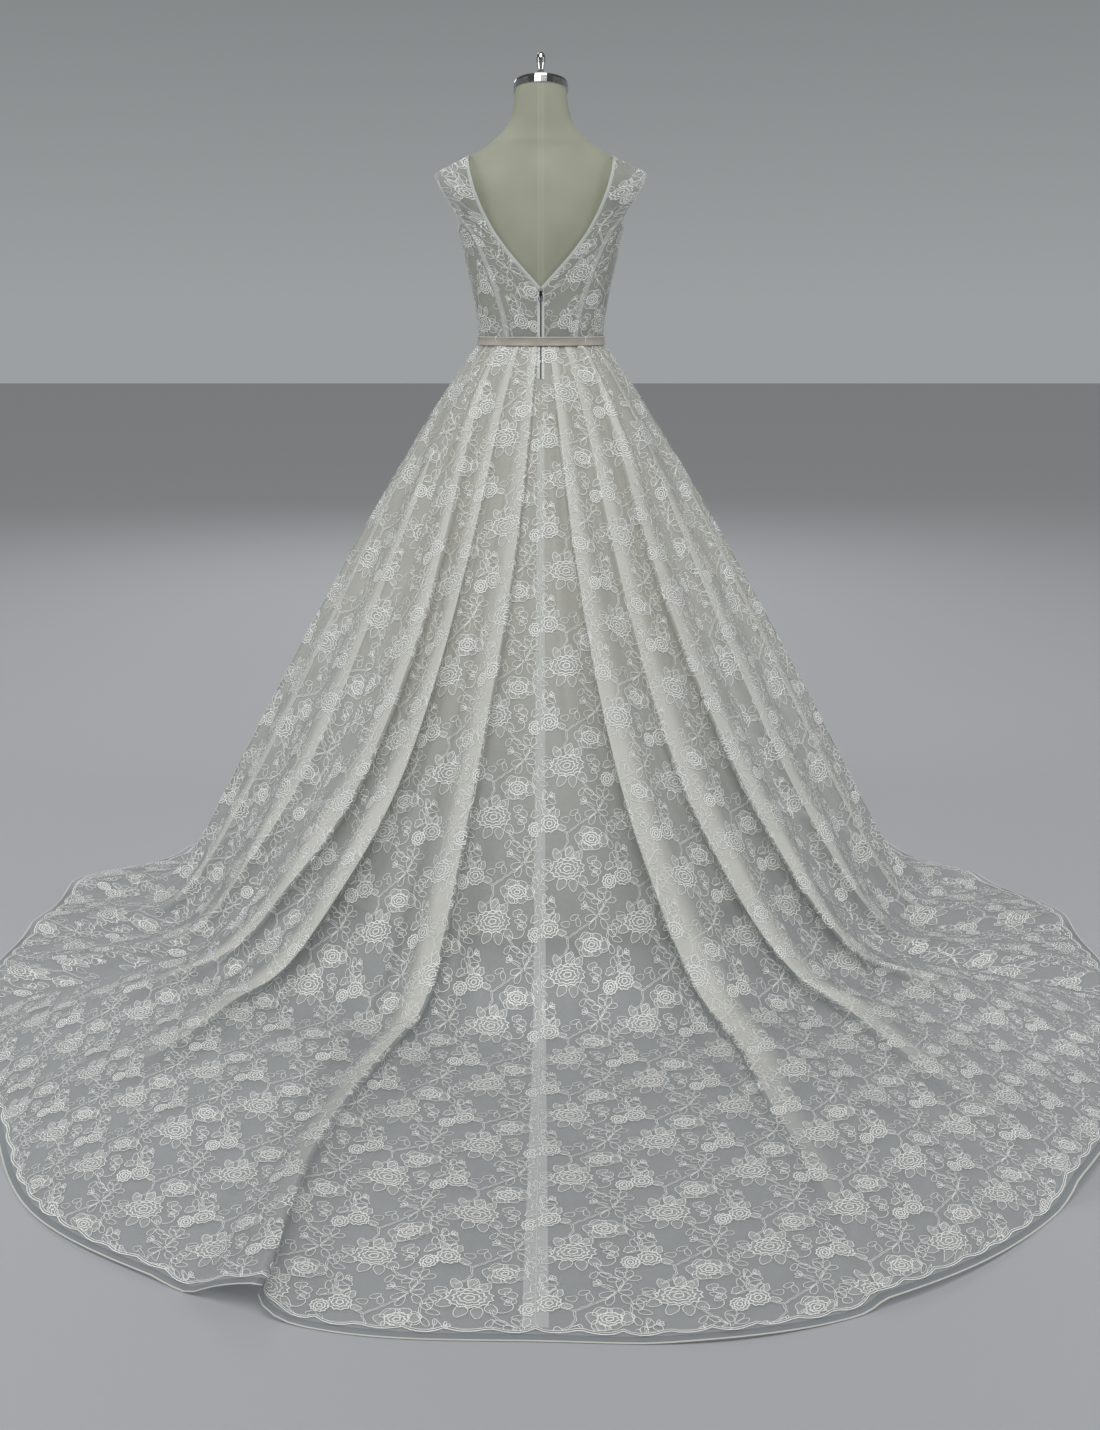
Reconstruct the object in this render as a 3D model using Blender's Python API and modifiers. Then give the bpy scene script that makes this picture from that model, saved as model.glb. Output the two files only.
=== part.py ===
"""A lace wedding dress with a train, worn on a limbless dress form.

The origin is on the floor under the form's pole. The wearer faces -Y, so the train
runs out to +Y, and the wearer's left is +X. All sizes are in metres, angles in degrees.
An azimuth is 0 at the centre back and grows towards the wearer's left.
"""

import math
from collections import namedtuple

import bmesh
import bpy
import numpy as np
from mathutils import Vector

# Driving sizes
WAIST_SEAM_Z = 1.075
WAIST_HALF_WIDTH = 0.115
WAIST_HALF_DEPTH = 0.0875
BACK_V_Z = 1.177
FRONT_V_Z = 1.232
CLOTH = 0.0012
GAP = 0.0003
BODY_ROUNDNESS = 2.4
BODY_MIDDLE = (0.0, 0.0, 1.2)

# Skirt profile
CONE_POWER = 1.1
FLOOR_FILLET = 0.14
CONE_SLOPE = 1.8
UNDERSKIRT_EXTRA = 0.012
LINING_HEM_Z = 0.04
LINING_HEM_RADIUS = 0.46
LINING_ROWS = (0.0, 0.2, 0.6, 1.0)

# The skirt's levels run from 0 at the waist to 1 where the cone would meet the floor,
# and from there to 2 at the lace hem.
SKIRT_ROWS = (0.0, 0.06, 0.2, 0.4, 0.6, 0.78, 0.92, 1.04, 1.18, 1.4, 1.68, 1.9, 2.0)

OutlineRow = namedtuple("OutlineRow", "azimuth foot hem")
OUTLINE = (
    OutlineRow(-150, 0.620, 0.655),
    OutlineRow(-120, 0.670, 0.700),
    OutlineRow(-100, 0.700, 0.765),
    OutlineRow(-88, 0.715, 0.870),
    OutlineRow(-80, 0.720, 0.985),
    OutlineRow(-68, 0.730, 1.075),
    OutlineRow(-50, 0.738, 1.225),
    OutlineRow(-36, 0.740, 1.366),
    OutlineRow(-27, 0.740, 1.455),
    OutlineRow(-18, 0.740, 1.525),
    OutlineRow(-9, 0.740, 1.560),
    OutlineRow(0, 0.740, 1.545),
    OutlineRow(9, 0.740, 1.545),
    OutlineRow(18, 0.740, 1.500),
    OutlineRow(27, 0.740, 1.440),
    OutlineRow(37, 0.740, 1.305),
    OutlineRow(50, 0.738, 1.190),
    OutlineRow(63, 0.733, 1.080),
    OutlineRow(76, 0.724, 0.975),
    OutlineRow(86, 0.716, 0.930),
    OutlineRow(95, 0.706, 0.800),
    OutlineRow(120, 0.670, 0.700),
    OutlineRow(150, 0.620, 0.655),
    OutlineRow(180, 0.600, 0.640),
)

# One row for each fold, in order of azimuth. Its ridge has an azimuth and a height in
# millimetres at each of FOLD_LEVELS, and the next valley lies at the share valley_after
# of the way to the next ridge.
FOLD_LEVELS = (0.0, 0.35, 0.7, 1.0, 1.5, 2.0)
Fold = namedtuple("Fold", "name azimuths heights_mm valley_after")
FOLDS = (
    Fold("front_right", (-171, -170, -169, -168, -168, -168), (1, 8, 14, 14, 10, 6), 0.40),
    Fold("side_front_right", (-153, -149, -147, -146, -146, -146), (1, 11, 18, 18, 12, 8), 0.35),
    Fold("side_front_right_2", (-133, -128, -124, -122, -122, -122), (1, 10, 16, 18, 14, 10), 0.35),
    Fold("side_right", (-113, -106, -102, -101, -101, -101), (1, 11, 18, 20, 16, 10), 0.30),
    Fold("side_right_2", (-94, -86, -83, -83, -86, -87), (1, 11, 20, 24, 20, 14), 0.30),
    Fold("side_back_right", (-76, -67, -65, -68, -72, -74), (1, 11, 18, 24, 18, 12), 0.30),
    Fold("side_back_right_2", (-58, -50, -50, -56, -60, -61), (1, 13, 20, 24, 16, 10), 0.30),
    Fold("outer_right", (-42, -34.5, -38, -46, -47, -48), (1, 20, 30, 34, 22, 14), 0.25),
    Fold("middle_right", (-26, -23, -26, -35, -33, -30.5), (1, 9, 20, 36, 28, 20), 0.20),
    Fold("inner_right", (-9, -11, -16, -21.5, -18, -15.5), (1, 18, 34, 36, 22, 12), 0.20),
    Fold("crease_right", (-4, -4.5, -7.5, -11.5, -9, -8), (0.5, 3, 8, 9, 6, 4), 0.50),
    Fold("centre_back_seam", (0, 0, 0, 0, 0, 0), (0, 0, 0, 0, 0, 0), 0.75),
    Fold("inner_left", (4, 8, 13.2, 15.5, 16, 13.5), (1, 18, 34, 36, 34, 44), 0.60),
    Fold("crease_left", (12, 15, 18.5, 21.5, 19, 18), (0.5, 4, 8, 16, 9, 5), 0.70),
    Fold("middle_left", (24, 22, 26.5, 36.5, 34.5, 36), (1, 14, 30, 40, 28, 14), 0.65),
    Fold("outer_left", (42, 31, 33, 46, 47, 47), (1, 18, 24, 24, 16, 10), 0.65),
    Fold("side_back_left", (58, 48, 47, 56, 58, 59), (1, 12, 20, 22, 16, 12), 0.70),
    Fold("side_back_left_2", (75, 64, 62, 67, 70, 72), (1, 12, 18, 24, 20, 12), 0.70),
    Fold("side_left", (93, 83, 80, 80, 83, 84), (1, 11, 20, 24, 20, 14), 0.70),
    Fold("side_left_2", (112, 104, 100, 99, 99, 99), (1, 11, 18, 20, 14, 10), 0.65),
    Fold("side_front_left", (132, 127, 124, 122, 122, 122), (1, 10, 17, 18, 14, 10), 0.65),
    Fold("side_front_left_2", (152, 149, 147, 146, 146, 146), (1, 11, 18, 18, 12, 8), 0.60),
    Fold("front_left", (170, 170, 169, 168, 168, 168), (1, 8, 14, 14, 10, 6), 0.50),
)
FINE_FOLD_MM = 25

# A skirt panel runs from the valley after one fold to the valley after another.
SkirtPanel = namedtuple("SkirtPanel", "name first last")
SKIRT_PANELS = (
    SkirtPanel("side_right", "side_right", "side_back_right_2"),
    SkirtPanel("back_right", "side_back_right_2", "centre_back_seam"),
    SkirtPanel("back_left", "centre_back_seam", "outer_left"),
    SkirtPanel("side_left", "outer_left", "side_left"),
    SkirtPanel("front", "side_left", "side_right"),
)

# Body sections. The bodice's rows are its inner face.
BodyRow = namedtuple("BodyRow", "z half_width back front")
BODICE_ROWS = (
    BodyRow(WAIST_SEAM_Z + GAP, 0.1165, 0.0890, 0.0885),
    BodyRow(1.130, 0.1225, 0.0920, 0.0960),
    BodyRow(1.190, 0.1340, 0.0950, 0.1120),
    BodyRow(1.232, 0.1430, 0.0965, 0.1230),
    BodyRow(1.275, 0.1530, 0.0970, 0.1270),
    BodyRow(1.300, 0.1610, 0.0960, 0.1240),
    BodyRow(1.330, 0.1820, 0.0930, 0.1160),
    BodyRow(1.355, 0.1990, 0.0880, 0.1050),
    BodyRow(1.382, 0.1990, 0.0780, 0.0880),
    BodyRow(1.400, 0.1640, 0.0700, 0.0740),
    BodyRow(1.416, 0.1330, 0.0620, 0.0600),
)
FORM_ROWS = (
    BodyRow(0.800, 0.1500, 0.1120, 0.1060),
    BodyRow(0.880, 0.1630, 0.1220, 0.1120),
    BodyRow(0.920, 0.1580, 0.1170, 0.1080),
    BodyRow(0.960, 0.1470, 0.1080, 0.1030),
    BodyRow(1.000, 0.1320, 0.0970, 0.0960),
    BodyRow(1.040, 0.1160, 0.0870, 0.0870),
    BodyRow(1.075, 0.1090, 0.0820, 0.0815),
    BodyRow(1.130, 0.1210, 0.0910, 0.0940),
    BodyRow(1.190, 0.1290, 0.0905, 0.1070),
    BodyRow(1.232, 0.1380, 0.0920, 0.1180),
    BodyRow(1.275, 0.1470, 0.0925, 0.1220),
    BodyRow(1.300, 0.1500, 0.0915, 0.1190),
    BodyRow(1.330, 0.1560, 0.0880, 0.1110),
    BodyRow(1.355, 0.1610, 0.0820, 0.1000),
    BodyRow(1.376, 0.1630, 0.0730, 0.0830),
    BodyRow(1.391, 0.1530, 0.0640, 0.0680),
    BodyRow(1.406, 0.1320, 0.0560, 0.0540),
    BodyRow(1.424, 0.1080, 0.0510, 0.0480),
    BodyRow(1.441, 0.0880, 0.0500, 0.0450),
    BodyRow(1.457, 0.0705, 0.0490, 0.0450),
    BodyRow(1.475, 0.0590, 0.0490, 0.0460),
    BodyRow(1.500, 0.0515, 0.0480, 0.0465),
    BodyRow(1.528, 0.0480, 0.0475, 0.0475),
)
FORM_COLUMNS = 32
NECK_Z = 1.44
NECK_TILT = 14.0

# Bodice panels. Each row gives the panel's edge nearer the centre and its edge nearer
# the side, as a distance from the centre line and a height.
EdgeRow = namedtuple("EdgeRow", "inner_x inner_z outer_x outer_z")
BODICE_BOTTOM_Z = WAIST_SEAM_Z + GAP
BACK_EDGES = (
    EdgeRow(0.0, BODICE_BOTTOM_Z, 0.066, BODICE_BOTTOM_Z),
    EdgeRow(0.0, 1.128, 0.075, 1.128),
    EdgeRow(0.0, BACK_V_Z, 0.089, 1.177),
    EdgeRow(0.028, 1.207, 0.101, 1.210),
    EdgeRow(0.056, 1.238, 0.114, 1.242),
    EdgeRow(0.084, 1.275, 0.130, 1.275),
    EdgeRow(0.106, 1.315, 0.151, 1.300),
    EdgeRow(0.122, 1.355, 0.169, 1.326),
    EdgeRow(0.131, 1.391, 0.186, 1.353),
    EdgeRow(0.133, 1.416, 0.199, 1.382),
)
FRONT_EDGES = (
    EdgeRow(0.0, BODICE_BOTTOM_Z, 0.060, BODICE_BOTTOM_Z),
    EdgeRow(0.0, 1.128, 0.068, 1.128),
    EdgeRow(0.0, 1.180, 0.082, 1.180),
    EdgeRow(0.0, FRONT_V_Z, 0.098, 1.216),
    EdgeRow(0.030, 1.262, 0.114, 1.246),
    EdgeRow(0.058, 1.290, 0.130, 1.275),
    EdgeRow(0.084, 1.319, 0.149, 1.300),
    EdgeRow(0.107, 1.353, 0.167, 1.326),
    EdgeRow(0.125, 1.388, 0.185, 1.353),
    EdgeRow(0.133, 1.416, 0.199, 1.382),
)
UNDERARM_ROW = 10
UNDERARM_Z = 1.283
BINDING_WIDTH = 0.0065
BINDING = 0.0008
CORNER_LIFT = 0.0006
FOLD_POINT_LENGTH = 1.3

# Belt and zip
BELT_BOTTOM_Z = 1.0757
BELT_WIDTH = 0.0122
BELT_CLEARANCE = 0.0019
BELT_OVERLAP = 9.0
BELT_STEP = 0.0016
BELT_STEP_FROM = 320.0
BELT_STEP_OVER = 30.0
BELT_COLUMNS = 44
ZIP_TOP_Z = 1.168
ZIP_SKIRT_LEVEL = 0.045
ZIP_WIDTH = 0.003
ZIP_THICK = 0.0009
SLIDER_SIZE = Vector((0.0052, 0.0018, 0.0085))
SLIDER_Z = 1.1665
ARCH_SIZE = Vector((0.0017, 0.0034, 0.0062))
ARCH_HOLE = 0.0022
ARCH_SINK = 0.0003
SLIDER_EDGE = 0.0004
PULL_WIRE = 0.0007
PULL_TOP_WIDTH = 0.0046
PULL_WIDTH = 0.0084
PULL_LENGTH = 0.0150
PULL_STEPS = 8

# Stand
BASE_RADIUS = 0.18
BASE_THICK = 0.012
POLE_RADIUS = 0.016
COLLAR_RADIUS = 0.034
CAP_RADIUS = 0.051
CAP_THICK = 0.019
TURNED_EDGE = 0.003
FINIAL_PROFILE = (
    (0.0, 0.055),
    (0.0046, 0.0535),
    (0.0072, 0.050),
    (0.0086, 0.043),
    (0.0080, 0.034),
    (0.0056, 0.022),
    (0.0050, 0.008),
    (0.0078, 0.003),
    (0.0078, 0.0),
    (0.0, 0.0),
)
TURNED_STEPS = 28

COLOURS = {
    "lace": ((0.86, 0.86, 0.82), 0.85, 0.0),
    "organza": ((0.78, 0.80, 0.77), 0.55, 0.0),
    "lining": ((0.84, 0.82, 0.74), 0.6, 0.0),
    "satin": ((0.83, 0.76, 0.71), 0.35, 0.0),
    "linen": ((0.74, 0.74, 0.62), 0.9, 0.0),
    "steel": ((0.62, 0.61, 0.59), 0.2, 1.0),
    "dark_steel": ((0.25, 0.26, 0.26), 0.35, 1.0),
    "painted": ((0.10, 0.10, 0.11), 0.5, 0.0),
}


def clear_scene():
    for thing in list(bpy.data.objects):
        bpy.data.objects.remove(thing, do_unlink=True)


def material(name):
    """The material of this name, made the first time it is asked for."""
    found = bpy.data.materials.get(name)
    if found:
        return found
    colour, roughness, metallic = COLOURS[name]
    made = bpy.data.materials.new(name)
    made.use_nodes = True
    shader = made.node_tree.nodes["Principled BSDF"]
    shader.inputs["Base Color"].default_value = (*colour, 1.0)
    shader.inputs["Roughness"].default_value = roughness
    shader.inputs["Metallic"].default_value = metallic
    return made


def smooth_read(xs, ys, x):
    """Reads a table at x along a smooth curve through its points."""
    xs = np.asarray(xs, float)
    ys = np.asarray(ys, float)
    slopes = np.gradient(ys, xs)
    x = np.clip(x, xs[0], xs[-1])
    i = np.clip(np.searchsorted(xs, x) - 1, 0, len(xs) - 2)
    width = xs[i + 1] - xs[i]
    t = (x - xs[i]) / width
    rise = (2 * t**3 - 3 * t**2 + 1) * ys[i] + (3 * t**2 - 2 * t**3) * ys[i + 1]
    return rise + width * ((t**3 - 2 * t**2 + t) * slopes[i] + (t**3 - t**2) * slopes[i + 1])


def outline_read(column, azimuth):
    """The foot or hem radius at an azimuth, read round the closed outline."""
    rows = OUTLINE[-3:] + OUTLINE + OUTLINE[:3]
    turns = (-360,) * 3 + (0,) * len(OUTLINE) + (360,) * 3
    azimuths = [row.azimuth + turn for row, turn in zip(rows, turns)]
    return smooth_read(azimuths, [getattr(row, column) for row in rows], azimuth)


def wrapped(azimuth):
    return (azimuth + 180.0) % 360.0 - 180.0


def waist_radius(azimuth, outset=0.0):
    a = math.radians(azimuth)
    wide = abs(math.sin(a)) / (WAIST_HALF_WIDTH + outset)
    deep = abs(math.cos(a)) / (WAIST_HALF_DEPTH + outset)
    return (wide**BODY_ROUNDNESS + deep**BODY_ROUNDNESS) ** (-1.0 / BODY_ROUNDNESS)


def skirt_profile(azimuth, level):
    """Radius and height of the skirt's lowest surface, and its outward slope there."""
    waist = waist_radius(azimuth)
    foot = float(outline_read("foot", wrapped(azimuth)))
    hem = float(outline_read("hem", wrapped(azimuth)))
    radius = waist + (foot - waist) * level
    if level > 1:
        radius = foot + (hem - foot) * (level - 1)
    share = (radius - waist) / (foot - waist)
    cone = WAIST_SEAM_Z * (1 - share**CONE_POWER)
    if cone > FLOOR_FILLET:
        return radius, cone, CONE_SLOPE
    if cone < -FLOOR_FILLET:
        return radius, 0.0, 0.0
    height = (cone + FLOOR_FILLET) ** 2 / (4 * FLOOR_FILLET)
    return radius, height, CONE_SLOPE * (cone + FLOOR_FILLET) / (2 * FLOOR_FILLET)


def skirt_point(azimuth, level, lift):
    """A point of the skirt, lifted off its lowest surface at right angles."""
    radius, height, slope = skirt_profile(azimuth, level)
    length = math.hypot(slope, 1.0)
    radius += lift * slope / length
    height += lift / length
    a = math.radians(azimuth)
    return (radius * math.sin(a), radius * math.cos(a), height)


def ridge(fold, level):
    """A fold's azimuth and height at a level."""
    level = min(level, FOLD_LEVELS[-1])
    azimuth = float(smooth_read(FOLD_LEVELS, fold.azimuths, level))
    height = float(smooth_read(FOLD_LEVELS, fold.heights_mm, level)) / 1000
    return azimuth, max(height, 0.0)


def skirt_columns():
    """The skirt's columns as (fold, share of the way to the next fold), and where each
    valley is in that list."""
    columns = []
    valleys = {}
    for number, fold in enumerate(FOLDS):
        after = FOLDS[(number + 1) % len(FOLDS)]
        valley = fold.valley_after
        fine = max(fold.heights_mm + after.heights_mm) > FINE_FOLD_MM
        columns.append((number, 0.0))
        if fine or valley > 0.5:
            columns.append((number, valley / 2))
        valleys[fold.name] = len(columns)
        columns.append((number, valley))
        if fine or valley <= 0.5:
            columns.append((number, (1 + valley) / 2))
    return columns, valleys


def ridges_beside(column, level):
    """The ridges that a column lies between, at a level."""
    number = column[0]
    here = ridge(FOLDS[number], level)
    if number + 1 < len(FOLDS):
        return here, ridge(FOLDS[number + 1], level)
    azimuth, height = ridge(FOLDS[0], level)
    return here, (azimuth + 360.0, height)


def column_azimuth(column, level):
    here, there = ridges_beside(column, level)
    return here[0] + (there[0] - here[0]) * column[1]


def folded_point(column, level):
    """The point of the folded skirt on a column, at a level."""
    number, share = column
    here, there = ridges_beside(column, level)
    valley = FOLDS[number].valley_after
    if share <= valley:
        lift = here[1] * (0.5 + 0.5 * math.cos(math.pi * share / valley))
    else:
        lift = there[1] * (0.5 - 0.5 * math.cos(math.pi * (share - valley) / (1 - valley)))
    return skirt_point(column_azimuth(column, level), level, lift)


def normals_of(grid, closed):
    """Unit normals of a grid of points whose rows run down and columns run round."""
    if closed:
        across = np.roll(grid, -1, axis=1) - np.roll(grid, 1, axis=1)
    else:
        across = np.gradient(grid, axis=1)
    down = np.gradient(grid, axis=0)
    normal = np.cross(across, down)
    return normal / np.linalg.norm(normal, axis=2, keepdims=True)


def moved_in(grid, distance):
    """The grid with its first and last columns moved towards its middle."""
    grid = grid.copy()
    for edge, inner in ((0, 1), (-1, -2)):
        step = grid[:, inner] - grid[:, edge]
        grid[:, edge] += distance * step / np.linalg.norm(step, axis=1, keepdims=True)
    return grid


def new_object(name, mesh, look, collection):
    mesh.materials.append(material(look))
    made = bpy.data.objects.new(name, mesh)
    collection.objects.link(made)
    return made


def cloth_wall(name, inner, outer, look, collection, closed=False, split=False):
    """A loft between an inner and an outer grid of points, closed all round its edge. Its
    quads can be split along their shorter diagonals, so that a band fits its panel."""
    rows, columns = inner.shape[:2]
    shell = bmesh.new()
    layers = [[[shell.verts.new(p) for p in row] for row in grid] for grid in (inner, outer)]
    spans = columns if closed else columns - 1
    for r in range(rows - 1):
        for c in range(spans):
            d = (c + 1) % columns
            for layer in layers:
                shell.faces.new((layer[r][c], layer[r + 1][c], layer[r + 1][d], layer[r][d]))
    for r in (0, rows - 1):
        for c in range(spans):
            d = (c + 1) % columns
            shell.faces.new((layers[0][r][c], layers[0][r][d], layers[1][r][d], layers[1][r][c]))
    if not closed:
        for c in (0, columns - 1):
            for r in range(rows - 1):
                corners = (layers[0][r][c], layers[0][r + 1][c], layers[1][r + 1][c], layers[1][r][c])
                shell.faces.new(corners)
    bmesh.ops.recalc_face_normals(shell, faces=shell.faces)
    if split:
        bmesh.ops.triangulate(shell, faces=shell.faces, quad_method="SHORT_EDGE")
    mesh = bpy.data.meshes.new(name)
    shell.to_mesh(mesh)
    shell.free()
    mesh.shade_smooth()
    mesh.set_sharp_from_angle(angle=math.radians(60))
    return new_object(name, mesh, look, collection)


def skirt_grids():
    """The folded skirt's points and normals, with one more row for the underskirt's hem."""
    columns, valleys = skirt_columns()
    rows = [[folded_point(column, level) for column in columns] for level in SKIRT_ROWS]
    last = []
    for column, point in zip(columns, rows[-1]):
        outward = Vector((point[0], point[1], 0)).normalized()
        last.append(tuple(Vector(point) + outward * UNDERSKIRT_EXTRA))
    grid = np.array(rows + [last])
    grid[0, :, 2] = WAIST_SEAM_Z
    normals = normals_of(grid, closed=True)
    normals[0, :, 2] = 0.0
    normals[0] /= np.linalg.norm(normals[0], axis=1, keepdims=True)
    return grid, normals, valleys


def make_skirts(collection):
    grid, normals, valleys = skirt_grids()
    number = grid.shape[1]
    centre_back = [fold.name for fold in FOLDS].index("centre_back_seam")
    ends = dict(valleys)
    ends["centre_back_seam"] = skirt_columns()[0].index((centre_back, 0.0))
    for panel in SKIRT_PANELS:
        first, last = ends[panel.first], ends[panel.last]
        if last < first:
            last += number
        cut = np.arange(first, last + 1) % number
        points, outward = grid[:, cut], normals[:, cut]
        layers = [
            moved_in(points + outward * out, GAP / 2)
            for out in (0.0, CLOTH, CLOTH + GAP, 2 * CLOTH + GAP)
        ]
        cloth_wall("underskirt_" + panel.name, layers[0], layers[1], "organza", collection)
        cloth_wall("skirt_" + panel.name, layers[2][:-1], layers[3][:-1], "lace", collection)


def make_lining(collection):
    """The plain lining: a cone with no folds, from the waist to just above the floor."""
    rows = []
    for share in LINING_ROWS:
        ring = []
        for column in skirt_columns()[0]:
            azimuth = column_azimuth(column, 0.0)
            waist = waist_radius(azimuth, -GAP)
            radius = waist + (LINING_HEM_RADIUS - waist) * share
            height = WAIST_SEAM_Z + (LINING_HEM_Z - WAIST_SEAM_Z) * share
            a = math.radians(azimuth)
            ring.append((radius * math.sin(a), radius * math.cos(a), height))
        rows.append(ring)
    outer = np.array(rows)
    inner = outer - normals_of(outer, closed=True) * CLOTH
    inner[0, :, 2] = outer[0, :, 2]
    cloth_wall("skirt_lining", inner, outer, "lining", collection, closed=True)


def body_read(rows, column, z):
    return float(np.interp(z, [row.z for row in rows], [getattr(row, column) for row in rows]))


def body_angle(rows, x, z):
    """The section angle at which a body's outline at height z is x from the centre line."""
    share = min(x / body_read(rows, "half_width", z), 1.0)
    return math.degrees(math.asin(share ** (BODY_ROUNDNESS / 2)))


def body_point(rows, angle, z, face):
    """A point of a body's outline. The face is 1 for the back and -1 for the front."""
    a = math.radians(angle)
    depth = body_read(rows, "back" if face > 0 else "front", z)
    x = body_read(rows, "half_width", z) * abs(math.sin(a)) ** (2 / BODY_ROUNDNESS)
    y = face * depth * abs(math.cos(a)) ** (2 / BODY_ROUNDNESS)
    return (x, y, z)


def finer(edges):
    """The rows of a panel's edges with one more row half way between each two."""
    rows = []
    for low, high in zip(edges, edges[1:]):
        rows += [low, EdgeRow(*((a + b) / 2 for a, b in zip(low, high)))]
    return rows + [edges[-1]]


def banded_shares(length, columns):
    """Shares of the way across a panel, with a column under the edge of each band."""
    band = BINDING_WIDTH / length
    inside = [band + (1 - 2 * band) * c / (columns - 2) for c in range(columns - 1)]
    return [0.0] + inside + [1.0]


def panel_grid(edges, face, columns):
    """The points of the left half's centre panel, row by row from the waist up."""
    rows = []
    for edge in finer(edges):
        inner = body_angle(BODICE_ROWS, edge.inner_x, edge.inner_z)
        outer = body_angle(BODICE_ROWS, edge.outer_x, edge.outer_z)
        length = math.dist(
            body_point(BODICE_ROWS, inner, edge.inner_z, face),
            body_point(BODICE_ROWS, outer, edge.outer_z, face),
        )
        row = []
        for share in banded_shares(length, columns):
            angle = inner + (outer - inner) * share
            z = edge.inner_z + (edge.outer_z - edge.inner_z) * share
            row.append(body_point(BODICE_ROWS, angle, z, face))
        rows.append(row)
    return np.array(rows)


def side_grid(edges, face, columns):
    """The points of the left half's side panel, from the princess seam to the side seam."""
    rows = []
    heights = finer(edges)[: UNDERARM_ROW + 1]
    below, top = heights[-2:]
    share = 1 - BINDING_WIDTH / (top.outer_z - below.outer_z)
    heights.insert(-1, EdgeRow(*(a + (b - a) * share for a, b in zip(below, top))))
    for number, edge in enumerate(heights):
        inner = body_angle(BODICE_ROWS, edge.outer_x, edge.outer_z)
        rise = (edge.outer_z - BODICE_BOTTOM_Z) / (heights[-1].outer_z - BODICE_BOTTOM_Z)
        side_z = edge.outer_z + (UNDERARM_Z - heights[-1].outer_z) * rise
        row = []
        for c in range(columns + 1):
            share = c / columns
            angle = inner + (90.0 - inner) * share
            z = edge.outer_z + (side_z - edge.outer_z) * share
            row.append(body_point(BODICE_ROWS, angle, z, face))
        rows.append(row)
    return np.array(rows)


def bodice_normals(grid):
    """Unit normals of a bodice grid, turned to point away from the body."""
    normal = normals_of(grid, closed=False)
    if np.sum(normal * (grid - np.array(BODY_MIDDLE))) < 0:
        normal = -normal
    return normal


def seamed(grid, inner=True, outer=True, top=False):
    """The grid with the seam allowance of half a gap taken off the named edges."""
    grid = grid.copy()
    for wanted, edge, beside in ((inner, 0, 1), (outer, -1, -2)):
        if wanted:
            step = grid[:, beside] - grid[:, edge]
            grid[:, edge] += GAP / 2 * step / np.linalg.norm(step, axis=1, keepdims=True)
    if top:
        step = grid[-2] - grid[-1]
        grid[-1] += GAP / 2 * step / np.linalg.norm(step, axis=1, keepdims=True)
    return grid


def make_bodice(collection):
    """The bodice's panels. Returns the grids that the bindings are made from."""
    back = seamed(panel_grid(BACK_EDGES, 1, 5), top=True)
    side_back = seamed(side_grid(BACK_EDGES, 1, 4))
    side_front = seamed(side_grid(FRONT_EDGES, -1, 4))
    front = seamed(panel_grid(FRONT_EDGES, -1, 6), inner=False, top=True)
    for name, grid in (("back", back), ("side_back", side_back), ("side_front", side_front)):
        out = grid + bodice_normals(grid) * CLOTH
        for side, turn in (("_left", 1.0), ("_right", -1.0)):
            flip = np.array((turn, 1.0, 1.0))
            cloth_wall("bodice_" + name + side, grid * flip, out * flip, "lace", collection, split=True)
    make_front(front, collection)
    return back, side_back, side_front, front


def make_front(half, collection):
    """The front, cut on the fold: the left half's surface, mirrored and thickened."""
    surface = bmesh.new()
    grid = [[surface.verts.new(p) for p in row] for row in half]
    for r in range(len(grid) - 1):
        for c in range(len(grid[0]) - 1):
            surface.faces.new((grid[r][c], grid[r + 1][c], grid[r + 1][c + 1], grid[r][c + 1]))
    surface.normal_update()
    middle = Vector(BODY_MIDDLE)
    outwardness = sum((f.calc_center_median() - middle).dot(f.normal) for f in surface.faces)
    if outwardness < 0:
        bmesh.ops.reverse_faces(surface, faces=surface.faces)
    bmesh.ops.triangulate(surface, faces=surface.faces, quad_method="SHORT_EDGE")
    mesh = bpy.data.meshes.new("bodice_front")
    surface.to_mesh(mesh)
    surface.free()
    mesh.shade_smooth()
    front = new_object("bodice_front", mesh, "lace", collection)
    mirror = front.modifiers.new("Mirror", "MIRROR")
    mirror.merge_threshold = 0.0001
    thicken = front.modifiers.new("Solidify", "SOLIDIFY")
    thicken.thickness = CLOTH
    thicken.offset = 1.0


def band_points(edge, beside):
    """Where a band lies on a panel: on its edge and on the points beside the edge. Each
    is a list of places, each place with its normal."""
    (at, at_normal), (near, near_normal) = edge, beside
    return np.stack((at, near)), np.stack((at_normal, near_normal))


def lay_band(name, bands, collection, closed=False):
    """A narrow band laid on the bodice, through the bands' places in order."""
    places = np.concatenate([band[0] for band in bands], axis=1)
    normals = np.concatenate([band[1] for band in bands], axis=1)
    low = places + normals * (CLOTH + GAP)
    high = places + normals * (CLOTH + GAP + BINDING)
    flip = np.array((-1.0, 1.0, 1.0))
    if not closed:
        low = np.concatenate((low, (low * flip)[:, ::-1][:, 1:]), axis=1)
        high = np.concatenate((high, (high * flip)[:, ::-1][:, 1:]), axis=1)
        cloth_wall(name, low, high, "lace", collection, split=True)
        return
    cloth_wall(name + "_left", low, high, "lace", collection, closed=True, split=True)
    cloth_wall(name + "_right", low * flip, high * flip, "lace", collection, closed=True, split=True)


def turned_round(band):
    return band[0][:, ::-1], band[1][:, ::-1]


def part_of(band, start, stop):
    return band[0][:, start:stop], band[1][:, start:stop]


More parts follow.
